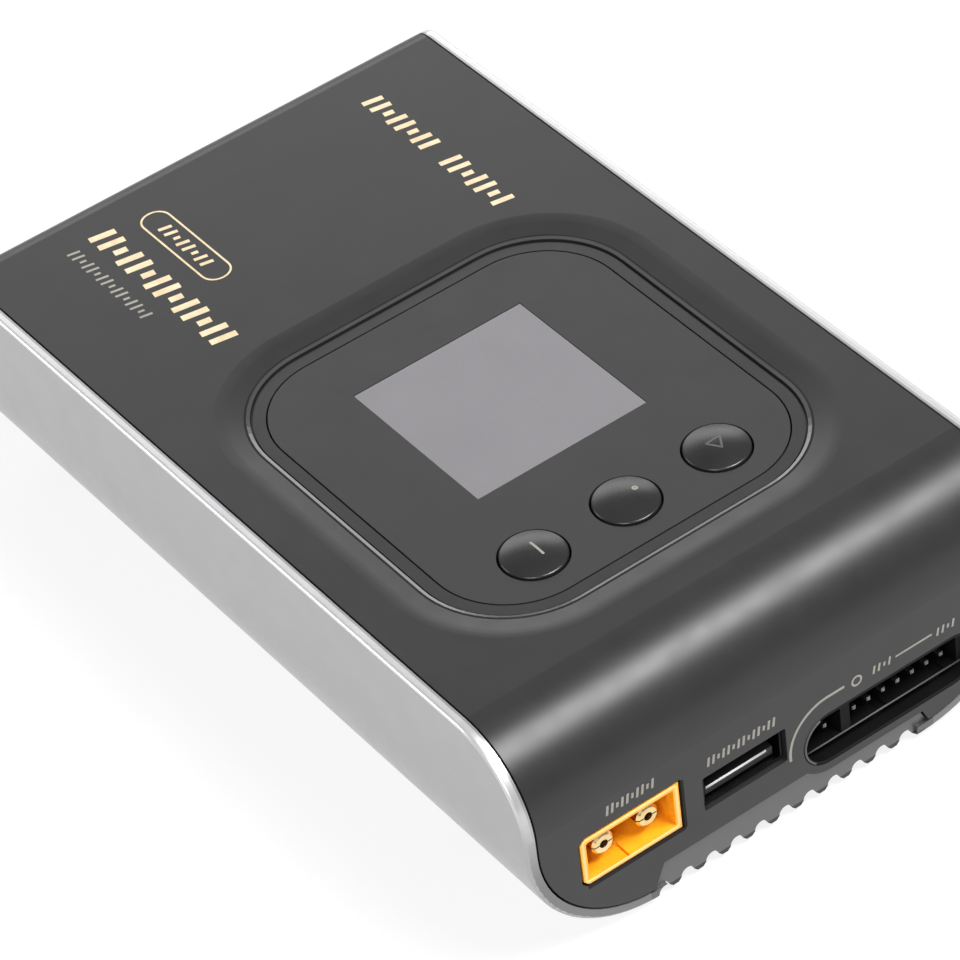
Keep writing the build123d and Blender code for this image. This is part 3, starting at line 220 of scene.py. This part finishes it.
def tray_silver():
    """Satin metallic flake paint; painted highlight on the top edges, painted shade low on the port face
    edge, darker ribbed intake.
    """
    finish = Finish("tray_silver", 0.34, metallic=0.72)
    finish.colour(finish.noise(0.12, 2), (0.37, 0.37, 0.375), (0.43, 0.43, 0.435))
    # painted highlight along both top edges, lighter towards the top
    for rim in (RIM_LEFT_BOX, RIM_RIGHT_BOX):
        rim_highlight = finish.both(finish.inside(*rim), finish.fade(*RIM_HIGHLIGHT_Z))
        finish.recolour(rim_highlight, (0.68, 0.68, 0.69))
    # painted shade on the flat front end round the port face, darker towards the bottom
    front_shade = finish.both(finish.inside(*RIM_FRONT_BOX), finish.fade(*RIM_SHADE_Z))
    finish.recolour(front_shade, (0.20, 0.20, 0.203))
    finish.recolour(finish.inside(*INTAKE_BOX), (0.14, 0.14, 0.143))
    # painted shade: the lower ends of the intake's ribs near black
    finish.recolour(finish.inside(*TOOTH_SHADE_BOX), (0.05, 0.05, 0.05))
    finish.gloss(finish.noise(5, 4), 0.30, 0.38)
    finish.bump(finish.noise(0.15, 2), 0.0018)
    return finish


def panel_dark():
    return moulded("panel_dark", 0.019, 0.05, (0.42, 0.50), 0.18, 0.003)


def button_black():
    return moulded("button_black", 0.013, 0.08, (0.24, 0.30), 0.25, 0.001)


def screen_grey():
    """Unlit display behind a smooth window."""
    finish = Finish("screen_grey", 0.2)
    finish.colour(finish.noise(0.09, 0), (0.178, 0.172, 0.182), (0.194, 0.188, 0.198))
    finish.gloss(finish.noise(8, 3), 0.16, 0.24)
    return finish


def connector_orange():
    """Bright nylon, with painted shade that deepens towards the roof of the connector's cavity."""
    finish = Finish("connector_orange", 0.3)
    finish.colour(finish.noise(2.5, 3), (0.93, 0.36, 0.010), (0.98, 0.44, 0.018))
    # painted shade inside the cavity, deeper towards its roof
    roof_shade = finish.both(finish.inside(*CAVITY_BOX), finish.fade(*CAVITY_SHADE_Z))
    finish.recolour(roof_shade, (0.80, 0.16, 0.004))
    finish.gloss(finish.noise(1.5, 4), 0.24, 0.34)
    finish.bump(finish.noise(0.3, 2), 0.003)
    return finish


def contact_gold():
    return metal("contact_gold", (0.80, 0.58, 0.26), (0.95, 0.76, 0.44), (0.18, 0.30))


def pin_tin():
    return metal("pin_tin", (0.26, 0.26, 0.25), (0.36, 0.36, 0.35), (0.3, 0.42))


def usb_metal():
    return metal("usb_metal", (0.018, 0.018, 0.019), (0.03, 0.03, 0.031), (0.3, 0.42), (1, 0.1, 1))


def screw_steel():
    return metal("screw_steel", (0.16, 0.16, 0.165), (0.26, 0.26, 0.27), (0.3, 0.45))


def foot_rubber():
    return moulded("foot_rubber", 0.022, 0.15, (0.75, 0.9), 0.3, 0.02, specular=0.25)


def tape_black():
    return moulded("tape_black", 0.015, 0.2, (0.8, 0.95), 0.4, 0.03, specular=0.2)


def lcd_glass():
    return moulded("lcd_glass", 0.12, 0.06, (0.08, 0.14), 3.0, 0.0005)


def carrier_white():
    return moulded("carrier_white", 0.70, 0.04, (0.5, 0.6), 0.4, 0.006)


def switch_black():
    return moulded("switch_black", 0.03, 0.1, (0.4, 0.55), 0.3, 0.008)


def socket_cream():
    return moulded("socket_cream", 0.62, 0.04, (0.45, 0.6), 0.3, 0.006, (1.05, 1.0, 0.86))


def ribbon_white():
    """Flat flex: white film with fine conductor stripes along its length."""
    finish = Finish("ribbon_white", 0.4)
    stripes = finish.tree.nodes.new("ShaderNodeTexWave")
    stripes.wave_type = "BANDS"
    stripes.bands_direction = "X"
    stripes.inputs["Scale"].default_value = 1 / (CONDUCTOR_MM * MM)
    finish.link(finish.coords, stripes.inputs["Vector"])
    finish.colour(stripes.outputs["Fac"], (0.62, 0.62, 0.60), (0.82, 0.82, 0.80), 0.45, 0.55)
    finish.bump(stripes.outputs["Fac"], 0.01)
    return finish


def board_green():
    """Solder mask over buried tracks."""
    finish = Finish("board_green", 0.35)
    tracks = finish.tree.nodes.new("ShaderNodeTexBrick")
    tracks.inputs["Scale"].default_value = 1 / (TRACK_MM * MM)
    tracks.inputs["Color1"].default_value = (0.012, 0.085, 0.030, 1)
    tracks.inputs["Color2"].default_value = (0.018, 0.110, 0.042, 1)
    tracks.inputs["Mortar"].default_value = (0.030, 0.160, 0.065, 1)
    tracks.inputs["Mortar Size"].default_value = 0.03
    finish.link(finish.coords, tracks.inputs["Vector"])
    finish.link(tracks.outputs["Color"], finish.shader.inputs["Base Color"])
    finish.gloss(finish.noise(2, 4), 0.28, 0.42)
    finish.bump(tracks.outputs["Fac"], 0.02)
    return finish


def insulator_clear():
    return moulded("insulator_clear", 0.7, 0.05, (0.35, 0.5), 1.0, 0.004, (1.0, 1.0, 0.93))


def copper():
    return metal("copper", (0.60, 0.26, 0.13), (0.86, 0.44, 0.26), (0.2, 0.35), (1, 1, 0.15), 0.4, 0.02)


def bronze():
    return metal("bronze", (0.42, 0.27, 0.12), (0.60, 0.42, 0.22), (0.4, 0.55), (1, 1, 1), 0.2, 0.01)


def stator_steel():
    dark, light = (0.20, 0.20, 0.20), (0.36, 0.36, 0.35)
    return metal("stator_steel", dark, light, (0.35, 0.5), (0.1, 1, 0.1), 0.2, 0.02)


def header_black():
    # near-black moulding, darkened further as painted shade inside the balance port's pockets
    return moulded("header_black", 0.003, 0.12, (0.5, 0.6), 0.3, 0.006, specular=0.15)


def rotor_black():
    return moulded("rotor_black", 0.022, 0.12, (0.4, 0.55), 0.4, 0.008)


def ferrite():
    return moulded("ferrite", 0.07, 0.15, (0.55, 0.7), 0.25, 0.02)


def winding_tape():
    """Yellow polyester tape with the turns showing through."""
    finish = Finish("winding_tape", 0.3)
    turns = finish.tree.nodes.new("ShaderNodeTexWave")
    turns.bands_direction = "Z"
    turns.inputs["Scale"].default_value = 1 / (TURN_MM * MM)
    finish.link(finish.coords, turns.inputs["Vector"])
    finish.colour(turns.outputs["Fac"], (0.62, 0.42, 0.03), (0.80, 0.58, 0.06), 0.2, 0.8)
    finish.bump(turns.outputs["Fac"], 0.03)
    return finish


def capacitor_sleeve():
    return moulded("capacitor_sleeve", 0.035, 0.15, (0.2, 0.3), 1.2, 0.01, (0.7, 0.85, 1.5))


def heatsink_alu():
    dark, light = (0.55, 0.56, 0.57), (0.74, 0.75, 0.76)
    return metal("heatsink_alu", dark, light, (0.3, 0.45), (1, 0.05, 1), 0.3, 0.01)


def chip_black():
    return moulded("chip_black", 0.03, 0.12, (0.5, 0.62), 0.2, 0.01)


def fuse_ceramic():
    return moulded("fuse_ceramic", 0.72, 0.04, (0.2, 0.3), 1.0, 0.003, (1.0, 0.98, 0.92))


def plunger_black():
    return moulded("plunger_black", 0.035, 0.1, (0.4, 0.5), 0.3, 0.006)


def ink_gold():
    """Pale gold foil: more paint than metal, so it stays light from every side."""
    finish = Finish("ink_gold", 0.5, metallic=0.3)
    finish.colour(finish.noise(1.5, 3), (0.66, 0.52, 0.33), (0.78, 0.64, 0.43))
    finish.gloss(finish.noise(0.6, 3), 0.42, 0.55)
    finish.bump(finish.noise(0.2, 2), 0.001)
    return finish


def ink_grey():
    return moulded("ink_grey", 0.25, 0.08, (0.5, 0.6), 0.3, 0.003, (1.05, 1.0, 0.88))


def ink_dim_and_highlight():
    # dim grey ink, also used for the painted highlight lines at the balance port
    return moulded("ink_dim_and_highlight", 0.075, 0.08, (0.4, 0.5), 0.3, 0.003)


def lip_highlight_orange():
    # pale orange: painted highlight on the connector's lip
    return moulded("lip_highlight_orange", 0.9, 0.04, (0.3, 0.4), 0.3, 0.002, (1.0, 0.62, 0.20))


def edge_gloss_and_highlight():
    """Smooth moulded edge that catches the lights; its colour, lighter than the cover's, is a painted
    highlight.
    """
    return moulded("edge_gloss_and_highlight", 0.045, 0.08, (0.12, 0.2), 0.8, 0.001, specular=0.85)


def insert_black():
    return moulded("insert_black", 0.012, 0.1, (0.35, 0.5), 0.3, 0.004)


def usb_white():
    return moulded("usb_white", 0.80, 0.03, (0.35, 0.45), 0.4, 0.003)


ALL_FINISHES = [
    cover_dark, tray_silver, panel_dark, button_black, screen_grey, connector_orange, contact_gold, pin_tin,
    usb_metal, screw_steel, foot_rubber, tape_black, lcd_glass, carrier_white, switch_black, socket_cream,
    ribbon_white, board_green, insulator_clear, copper, bronze, stator_steel, header_black, rotor_black,
    ferrite, winding_tape, capacitor_sleeve, heatsink_alu, chip_black, fuse_ceramic, plunger_black,
    insert_black, usb_white, ink_gold, ink_grey, ink_dim_and_highlight, lip_highlight_orange, edge_gloss_and_highlight,
]


def dress_frame():
    """Give every CAD node the finish of its material slot."""
    finishes = {make.__name__: make().material for make in ALL_FINISHES}
    for part in frame["record"]["subparts"]:
        node = frame["nodes"][part["node"]]
        finish = finishes[part["material_slot"]]
        if not node.material_slots:
            node.data.materials.append(finish)
        for slot in node.material_slots:
            slot.material = finish
    return finishes


# ---------------------------------------------------------------- mesh helpers
def piece(name, build, finish, body="case", smooth=False):
    """Turn a built mesh in millimetres into a piece that rides on a body."""
    bmesh.ops.scale(build, vec=(MM, MM, MM), verts=build.verts)
    bmesh.ops.recalc_face_normals(build, faces=build.faces)
    for face in build.faces:
        face.smooth = smooth
    mesh = bpy.data.meshes.new(name)
    build.to_mesh(mesh)
    build.free()
    mesh.materials.append(finishes[finish])
    made = bpy.data.objects.new(name, mesh)
    bpy.context.collection.objects.link(made)
    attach(made, body)


def on_front(x, z, height):
    """Place on the port face; height stands out of it."""
    return Vector((x, FRONT_Y / MM - height, z))


def on_top(x, y, height):
    """Place on the flat top."""
    return Vector((x, y, TOP_Z / MM + height))


def straight(start, end, steps=1):
    """Flat path between two points."""
    ways = [i / steps for i in range(steps + 1)]
    return [(start[0] + (end[0] - start[0]) * t, start[1] + (end[1] - start[1]) * t) for t in ways]


def arc(centre, radius, start, end, steps=32):
    """Flat path round a centre between two angles in degrees."""
    angles = [math.radians(start + (end - start) * i / steps) for i in range(steps + 1)]
    return [(centre[0] + radius * math.cos(a), centre[1] + radius * math.sin(a)) for a in angles]


def rounded_frame(centre, width, height, radius, steps=6):
    """Closed flat path round a rectangle with round corners."""
    path = []
    corners = ((1, 1, 0), (-1, 1, 90), (-1, -1, 180), (1, -1, 270))
    for sx, sy, start in corners:
        middle = (centre[0] + sx * (width / 2 - radius), centre[1] + sy * (height / 2 - radius))
        path += arc(middle, radius, start, start + 90, steps)
    return path + path[:1]


def normals(path):
    """Unit normal at each point of a flat path; a path that ends where it starts is closed."""
    count = len(path)
    closed = path[0] == path[-1]
    result = []
    for i in range(count):
        before = path[i - 1] if i > 0 else path[-2 if closed else 0]
        after = path[i + 1] if i < count - 1 else path[1 if closed else -1]
        along = Vector((after[0] - before[0], after[1] - before[1])).normalized()
        result.append((-along.y, along.x))
    return result


def stroke(build, path, width, place):
    """Raised ink line along a flat path, with a flat top and straight sides."""
    profile = ((-0.5, -1), (-0.5, 1), (0.5, 1), (0.5, -1))
    rows = []
    for (x, y), (nx, ny) in zip(path, normals(path)):
        ring = [place(x + nx * width * s, y + ny * width * s, INK * h) for s, h in profile]
        rows.append([build.verts.new(point) for point in ring])
    bridge(build, rows)
    build.faces.new(rows[0])
    build.faces.new(rows[-1])


def bridge(build, rows):
    """Quads between neighbouring rows of vertices."""
    for low, high in zip(rows, rows[1:]):
        for i in range(len(low)):
            j = (i + 1) % len(low)
            build.faces.new((low[i], low[j], high[j], high[i]))


def bead(build, path, radius, place, sides=8):
    """Round bead along a flat path."""
    turns = [2 * math.pi * i / sides for i in range(sides)]
    profile = [(radius * math.cos(t), radius * math.sin(t)) for t in turns]
    rows = []
    for (x, y), (nx, ny) in zip(path, normals(path)):
        ring = [place(x + nx * across, y + ny * across, high) for across, high in profile]
        rows.append([build.verts.new(point) for point in ring])
    bridge(build, rows)
    if path[0] != path[-1]:
        build.faces.new(rows[0])
        build.faces.new(rows[-1])


# ---------------------------------------------------------------- camera and studio
CAMERA_PLACE = Vector((-271.65, -441.24, 475.54)) * MM
CAMERA_RIGHT = Vector((0.79768, -0.59484, -0.09934))     # axes of the view
CAMERA_UP = Vector((0.45826, 0.49078, 0.74104))
CAMERA_BACK = Vector((-0.39205, -0.63664, 0.66407))
CAMERA_LENS = 188.25
CAMERA_SENSOR = 36
CAMERA_NEAR = 0.01
STUDIO_CENTRE = Vector((0, 0, 0.03))
WORLD_STRENGTH = 0.32
FLOOR_SIZE = 3
FLOOR_GLOW = 0.82          # the table is a light box, so shadows on it stay pale
FLOOR_LUMPS_MM = 400


def add_camera():
    """Long-lens camera for the main view."""
    data = bpy.data.cameras.new("camera")
    data.lens = CAMERA_LENS
    data.sensor_width = CAMERA_SENSOR
    data.clip_start = CAMERA_NEAR
    camera = bpy.data.objects.new("camera", data)
    bpy.context.collection.objects.link(camera)
    turn = Matrix((CAMERA_RIGHT, CAMERA_UP, CAMERA_BACK)).transposed().to_4x4()
    camera.matrix_world = Matrix.Translation(CAMERA_PLACE) @ turn
    bpy.context.scene.camera = camera


def softbox(name, direction, distance, size, radiance):
    """Rectangular area light that faces the object from a direction; size is (across, up)."""
    data = bpy.data.lights.new(name, "AREA")
    data.shape = "RECTANGLE"
    data.size = size[0]
    data.size_y = size[1]
    data.energy = radiance * math.pi * size[0] * size[1]
    lamp = bpy.data.objects.new(name, data)
    bpy.context.collection.objects.link(lamp)
    towards = Vector(direction).normalized()
    lamp.location = STUDIO_CENTRE + towards * distance
    lamp.rotation_mode = "QUATERNION"
    lamp.rotation_quaternion = (-towards).to_track_quat("-Z", "Y")
    lamp.visible_camera = False


def add_lights():
    """Dim white room with four softboxes."""
    world = bpy.data.worlds.new("studio")
    bpy.context.scene.world = world
    world.use_nodes = True
    backdrop = world.node_tree.nodes["Background"]
    backdrop.inputs["Color"].default_value = (1, 1, 1, 1)
    backdrop.inputs["Strength"].default_value = WORLD_STRENGTH
    softbox("overhead_front", (0.31, -0.38, 0.85), 1.6, (0.75, 0.55), 23)
    softbox("back_right", (0.42, 0.80, 0.41), 1.8, (1.5, 0.62), 2.6)
    softbox("back_left", (-0.664, 0.637, 0.392), 1.8, (0.9, 0.7), 4)
    softbox("front_left", (-0.6, -0.55, 0.56), 1.8, (0.7, 0.7), 10)


def add_floor():
    """Pale glowing floor, and a view transform that leaves its white alone."""
    floor_mesh = bpy.data.meshes.new("floor")
    build = bmesh.new()
    bmesh.ops.create_grid(build, x_segments=1, y_segments=1, size=FLOOR_SIZE)
    build.to_mesh(floor_mesh)
    build.free()
    floor = bpy.data.objects.new("floor", floor_mesh)
    bpy.context.collection.objects.link(floor)
    finish = Finish("floor", 0.8, specular=0.2)
    finish.colour(finish.noise(FLOOR_LUMPS_MM, 1), (0.14, 0.14, 0.14), (0.16, 0.16, 0.16))
    finish.shader.inputs["Emission Color"].default_value = (1, 1, 1, 1)
    finish.shader.inputs["Emission Strength"].default_value = FLOOR_GLOW
    floor_mesh.materials.append(finish.material)
    settings = bpy.context.scene.view_settings
    settings.view_transform = "Standard"
    settings.look = "None"


# ---------------------------------------------------------------- printed marks
BAR_LEAN = 0.3             # sideways lean of a bar, as a share of the pitch
LEAD_CENTRE = (6.7, 11.1)  # middle of the arc that leads round the balance port, mm
LEAD_RADIUS = 6.7
LEAD_W = 0.42              # width of its line


def slanted(start, end, height, count):
    """Row of slanted bars from start to end, every third one half as tall."""
    pitch = (end - start) / count
    lean = BAR_LEAN * pitch
    paths = []
    for i in range(count):
        middle = start + (i + 0.5) * pitch
        reach = 0.25 if i % 3 == 2 else 0.5
        across, up = lean * reach, height * reach
        paths.append(straight((middle - across, -up), (middle + across, up)))
    return paths


def print_rows(name, rows, place, finish, body="case"):
    """One piece from rows of (paths, line width, across, along); across and along move the row."""
    build = bmesh.new()
    for paths, width, dx, dy in rows:
        for path in paths:
            stroke(build, [(x + dx, y + dy) for x, y in path], width, place)
    piece(name, build, finish, body)


def along_top(along, across, height):
    """Top face with the reading direction towards -Y."""
    return on_top(across, -along, height)


def front_print():
    """Small grey print above each port, and the thin arc that leads round the balance port."""
    lead_top = LEAD_CENTRE[1] + LEAD_RADIUS
    rows = [
        (slanted(-29.6, -21.5, 1.6, 10), 0.38, 0, 21.5),
        (slanted(-13.4, -1.8, 1.5, 14), 0.38, 0, 19.2),
        ([arc(LEAD_CENTRE, LEAD_RADIUS, 186, 90)], LEAD_W, 0, 0),
        ([straight((LEAD_CENTRE[0], lead_top), (9.5, lead_top))], LEAD_W, 0, 0),
        ([arc((11.6, 17.5), 0.75, 0, 360)], 0.3, 0, 0),
        (slanted(14.1, 17.6, 1.3, 4), 0.34, 0, 17.5),
        ([straight((18.2, 17.5), (24.4, 17.5))], 0.32, 0, 0),
        (slanted(25.0, 28.5, 1.3, 4), 0.34, 0, 17.3),
    ]
    print_rows("front_print", rows, on_front, "ink_grey")


def top_print():
    """Gold print on the top: a row near each side edge, a framed one between them and a fine one outside."""
    bold = [
        (slanted(-57.4, -41.5, 3.2, 8), 0.95, 0, 25.3),
        (slanted(-38.4, -24.0, 3.4, 7), 0.95, 0, 25.3),
        (slanted(-59.2, -26.5, 4.0, 14), 1.15, 0, -20.8),
        ([rounded_frame((-48, 0), 19, 4.4, 2.1)], 0.3, 0, -13.3),
        (slanted(-54, -42, 2.0, 8), 0.6, 0, -13.3),
    ]
    fine = [(slanted(-58.2, -38.5, 1.9, 16), 0.42, 0, -26.0)]
    print_rows("top_print", bold, along_top, "ink_gold")
    print_rows("top_print_fine", fine, along_top, "ink_grey")


# ---------------------------------------------------------------- button icons
DOME_CROWN = 0.7           # rise of a cap's dome above its shoulder, mm
DOME_REACH = 4.65          # radius of that shoulder


def on_dome(button):
    """Placing function for the domed top of one button."""
    low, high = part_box(button)
    centre = (low + high) / (2 * MM)
    top = high.z / MM
    ball = (DOME_REACH ** 2 + DOME_CROWN ** 2) / (2 * DOME_CROWN)

    def place(x, y, height):
        sag = ball - math.sqrt(ball ** 2 - x ** 2 - y ** 2)
        return Vector((centre.x + x, centre.y + y, top - sag + height))

    return place


def button_icons():
    """A bar, a small ring and a triangle, one on each button."""
    left, right, tip = (-1.2, 0.8), (1.2, 0.8), (0, -1.2)
    triangle = straight(left, right, 6) + straight(right, tip, 6)[1:] + straight(tip, left, 6)[1:]
    icons = {
        "left": (straight((0.6, 1.5), (0.6, -1.5), 8), 0.36, "ink_grey"),
        "middle": (arc((1.9, 0.5), 0.28, 0, 360, 16), 0.34, "ink_grey"),
        "right": (triangle, 0.3, "ink_dim_and_highlight"),
    }
    for side, (path, width, ink) in icons.items():
        rows = [([path], width, 0, 0)]
        print_rows(f"icon_{side}", rows, on_dome(f"button_{side}"), ink, f"key_{side}")


# ---------------------------------------------------------------- small edges, sizes in mm
PANEL_FLANGE = 1.8         # the panel's hidden flange, counted in its box
RING_W = 2.4               # flat ring round the panel
RING_CORNER = 14.5         # radius of the ring's corners
RING_STEP = 0.25           # rise from the ring to the foot of the dish
BEVEL_W = 0.5              # glossy bevel outside the ring, painted lighter as its highlight
BEVEL_RISE = 0.145         # outer edge above the inner edge
GAP_W = 0.32               # black strip outside the bevel: painted shade of the gap there
DISH_SLOPE = 0.1875        # rise of the dish wall for each millimetre outwards
STRIP_FOOT = -0.1          # both strips start below the surface
BEVEL_LIFT = 0.01          # and stand this far clear of it
GAP_SHADE_LIFT = 0.02
XT_LIP = (15.9, 8.1)       # outer width and height of the battery connector's lip
XT_MIDDLE_Z = 14.8         # height of its middle
XT_INSET = 0.4             # from the outer edge to the line of the bead
XT_CORNER = 0.5
XT_BEAD = 0.27             # radius of the bead
XT_FLATTEN = 0.3           # share of that radius which stands out of the lip
XT_GAP_SHADOW_X = (-33.3, -17.4)     # painted shadow in the gap round the connector: its ends across, and its ends in height
XT_GAP_SHADOW_Z = (10.2, 18.9)
XT_GAP_SHADOW_W = 0.42
USB_LINE_X = (-5.4, 4.6)   # from the middle of the tongue
USB_LINE_Z = 13.2
USB_BEAD = 0.24            # radius and flattening, as above
USB_FLATTEN = 0.2
LEDGE_DEPTH = 1.4          # painted highlight line on the balance port's ledge, behind the port face
LEDGE_X = (3.4, 30.8)
LEDGE_Z = 8.18
LEDGE_BEAD = 0.14
LIP_CENTRE = (6.6, 10.5)   # painted highlight arc at the left end of the balance port
LIP_RADIUS = 4.1
LIP_BEAD = 0.16


def dish_strip(name, profile, finish):
    """Strip round the foot of the dish; profile points are (outward, upward)."""
    size = (PANEL_HIGH - PANEL_LOW) / MM
    centre = (PANEL_HIGH + PANEL_LOW) / (2 * MM)
    grow = 2 * (RING_W - PANEL_FLANGE)
    path = rounded_frame((centre.x, centre.y), size.x + grow, size.y + grow, RING_CORNER, 16)
    foot = PANEL_HIGH.z / MM + RING_STEP
    build = bmesh.new()
    rows = []
    for (x, y), (nx, ny) in zip(path, normals(path)):
        ring = [Vector((x - nx * out, y - ny * out, foot + up)) for out, up in profile]
        rows.append([build.verts.new(point) for point in ring])
    bridge(build, rows)
    piece(name, build, finish)


def dish_edge():
    """Glossy bevel that leans towards the panel, painted lighter as its highlight, and a black strip outside
    it as painted shade of the gap.
    """
    end = BEVEL_W + GAP_W
    start_up = BEVEL_W * DISH_SLOPE + GAP_SHADE_LIFT
    end_up = end * DISH_SLOPE + GAP_SHADE_LIFT
    bevel = ((0, STRIP_FOOT), (0, BEVEL_LIFT), (BEVEL_W, BEVEL_LIFT + BEVEL_RISE), (BEVEL_W, 0))
    gap_shade = ((BEVEL_W, STRIP_FOOT), (BEVEL_W, start_up), (end, end_up), (end, 0))
    dish_strip("dish_edge", bevel, "edge_gloss_and_highlight")
    dish_strip("dish_gap_shade", gap_shade, "tape_black")


def xt60_rim():
    """Rounded bead on the orange connector's lip; its pale colour is a painted highlight."""
    width, height = XT_LIP
    centre = (XT_HIGH.x / MM - width / 2, XT_MIDDLE_Z)
    path = rounded_frame(centre, width - 2 * XT_INSET, height - 2 * XT_INSET, XT_CORNER, 4)
    face = XT_LOW.y / MM

    def place(x, z, out):
        return Vector((x, face - out * XT_FLATTEN, z))

    build = bmesh.new()
    bead(build, path, XT_BEAD, place)
    piece("xt60_rim", build, "lip_highlight_orange", smooth=True)


def xt60_gap_shadow():
    """Black strip in the gap under the orange connector and to its right: a painted shadow."""
    left, right = XT_GAP_SHADOW_X
    low, high = XT_GAP_SHADOW_Z
    turn = (right - XT_CORNER, low + XT_CORNER)
    path = straight((left, low), (turn[0], low)) + arc(turn, XT_CORNER, 270, 360, 6)[1:]
    path += straight((right, turn[1]), (right, high))[1:]
    print_rows("xt60_gap_shadow", [([path], XT_GAP_SHADOW_W, 0, 0)], on_front, "tape_black")


def usb_edge():
    """White strip along the front of the USB tongue."""
    front = USB_LOW.y / MM
    middle = (USB_LOW.x + USB_HIGH.x) / (2 * MM)

    def place(x, z, out):
        return Vector((middle + x, front - out * USB_FLATTEN, z))

    build = bmesh.new()
    left, right = USB_LINE_X
    bead(build, straight((left, USB_LINE_Z), (right, USB_LINE_Z)), USB_BEAD, place)
    piece("usb_edge", build, "usb_white", smooth=True)


def balance_edges():
    """Painted highlights: a pale line along the ledge under the pins, and one along the left end of the
    opening.
    """
    face = FRONT_Y / MM + LEDGE_DEPTH

    def on_ledge(x, z, out):
        return Vector((x, face - out, z))

    build = bmesh.new()
    left, right = LEDGE_X
    bead(build, straight((left, LEDGE_Z), (right, LEDGE_Z)), LEDGE_BEAD, on_ledge)
    piece("balance_ledge_highlight", build, "ink_dim_and_highlight", smooth=True)
    build = bmesh.new()
    bead(build, arc(LIP_CENTRE, LIP_RADIUS, 110, 230), LIP_BEAD, on_front)
    piece("balance_lip_highlight", build, "ink_dim_and_highlight", smooth=True)


finishes = dress_frame()
add_camera()
add_lights()
add_floor()
front_print()
top_print()
button_icons()
dish_edge()
xt60_rim()
xt60_gap_shadow()
usb_edge()
balance_edges()
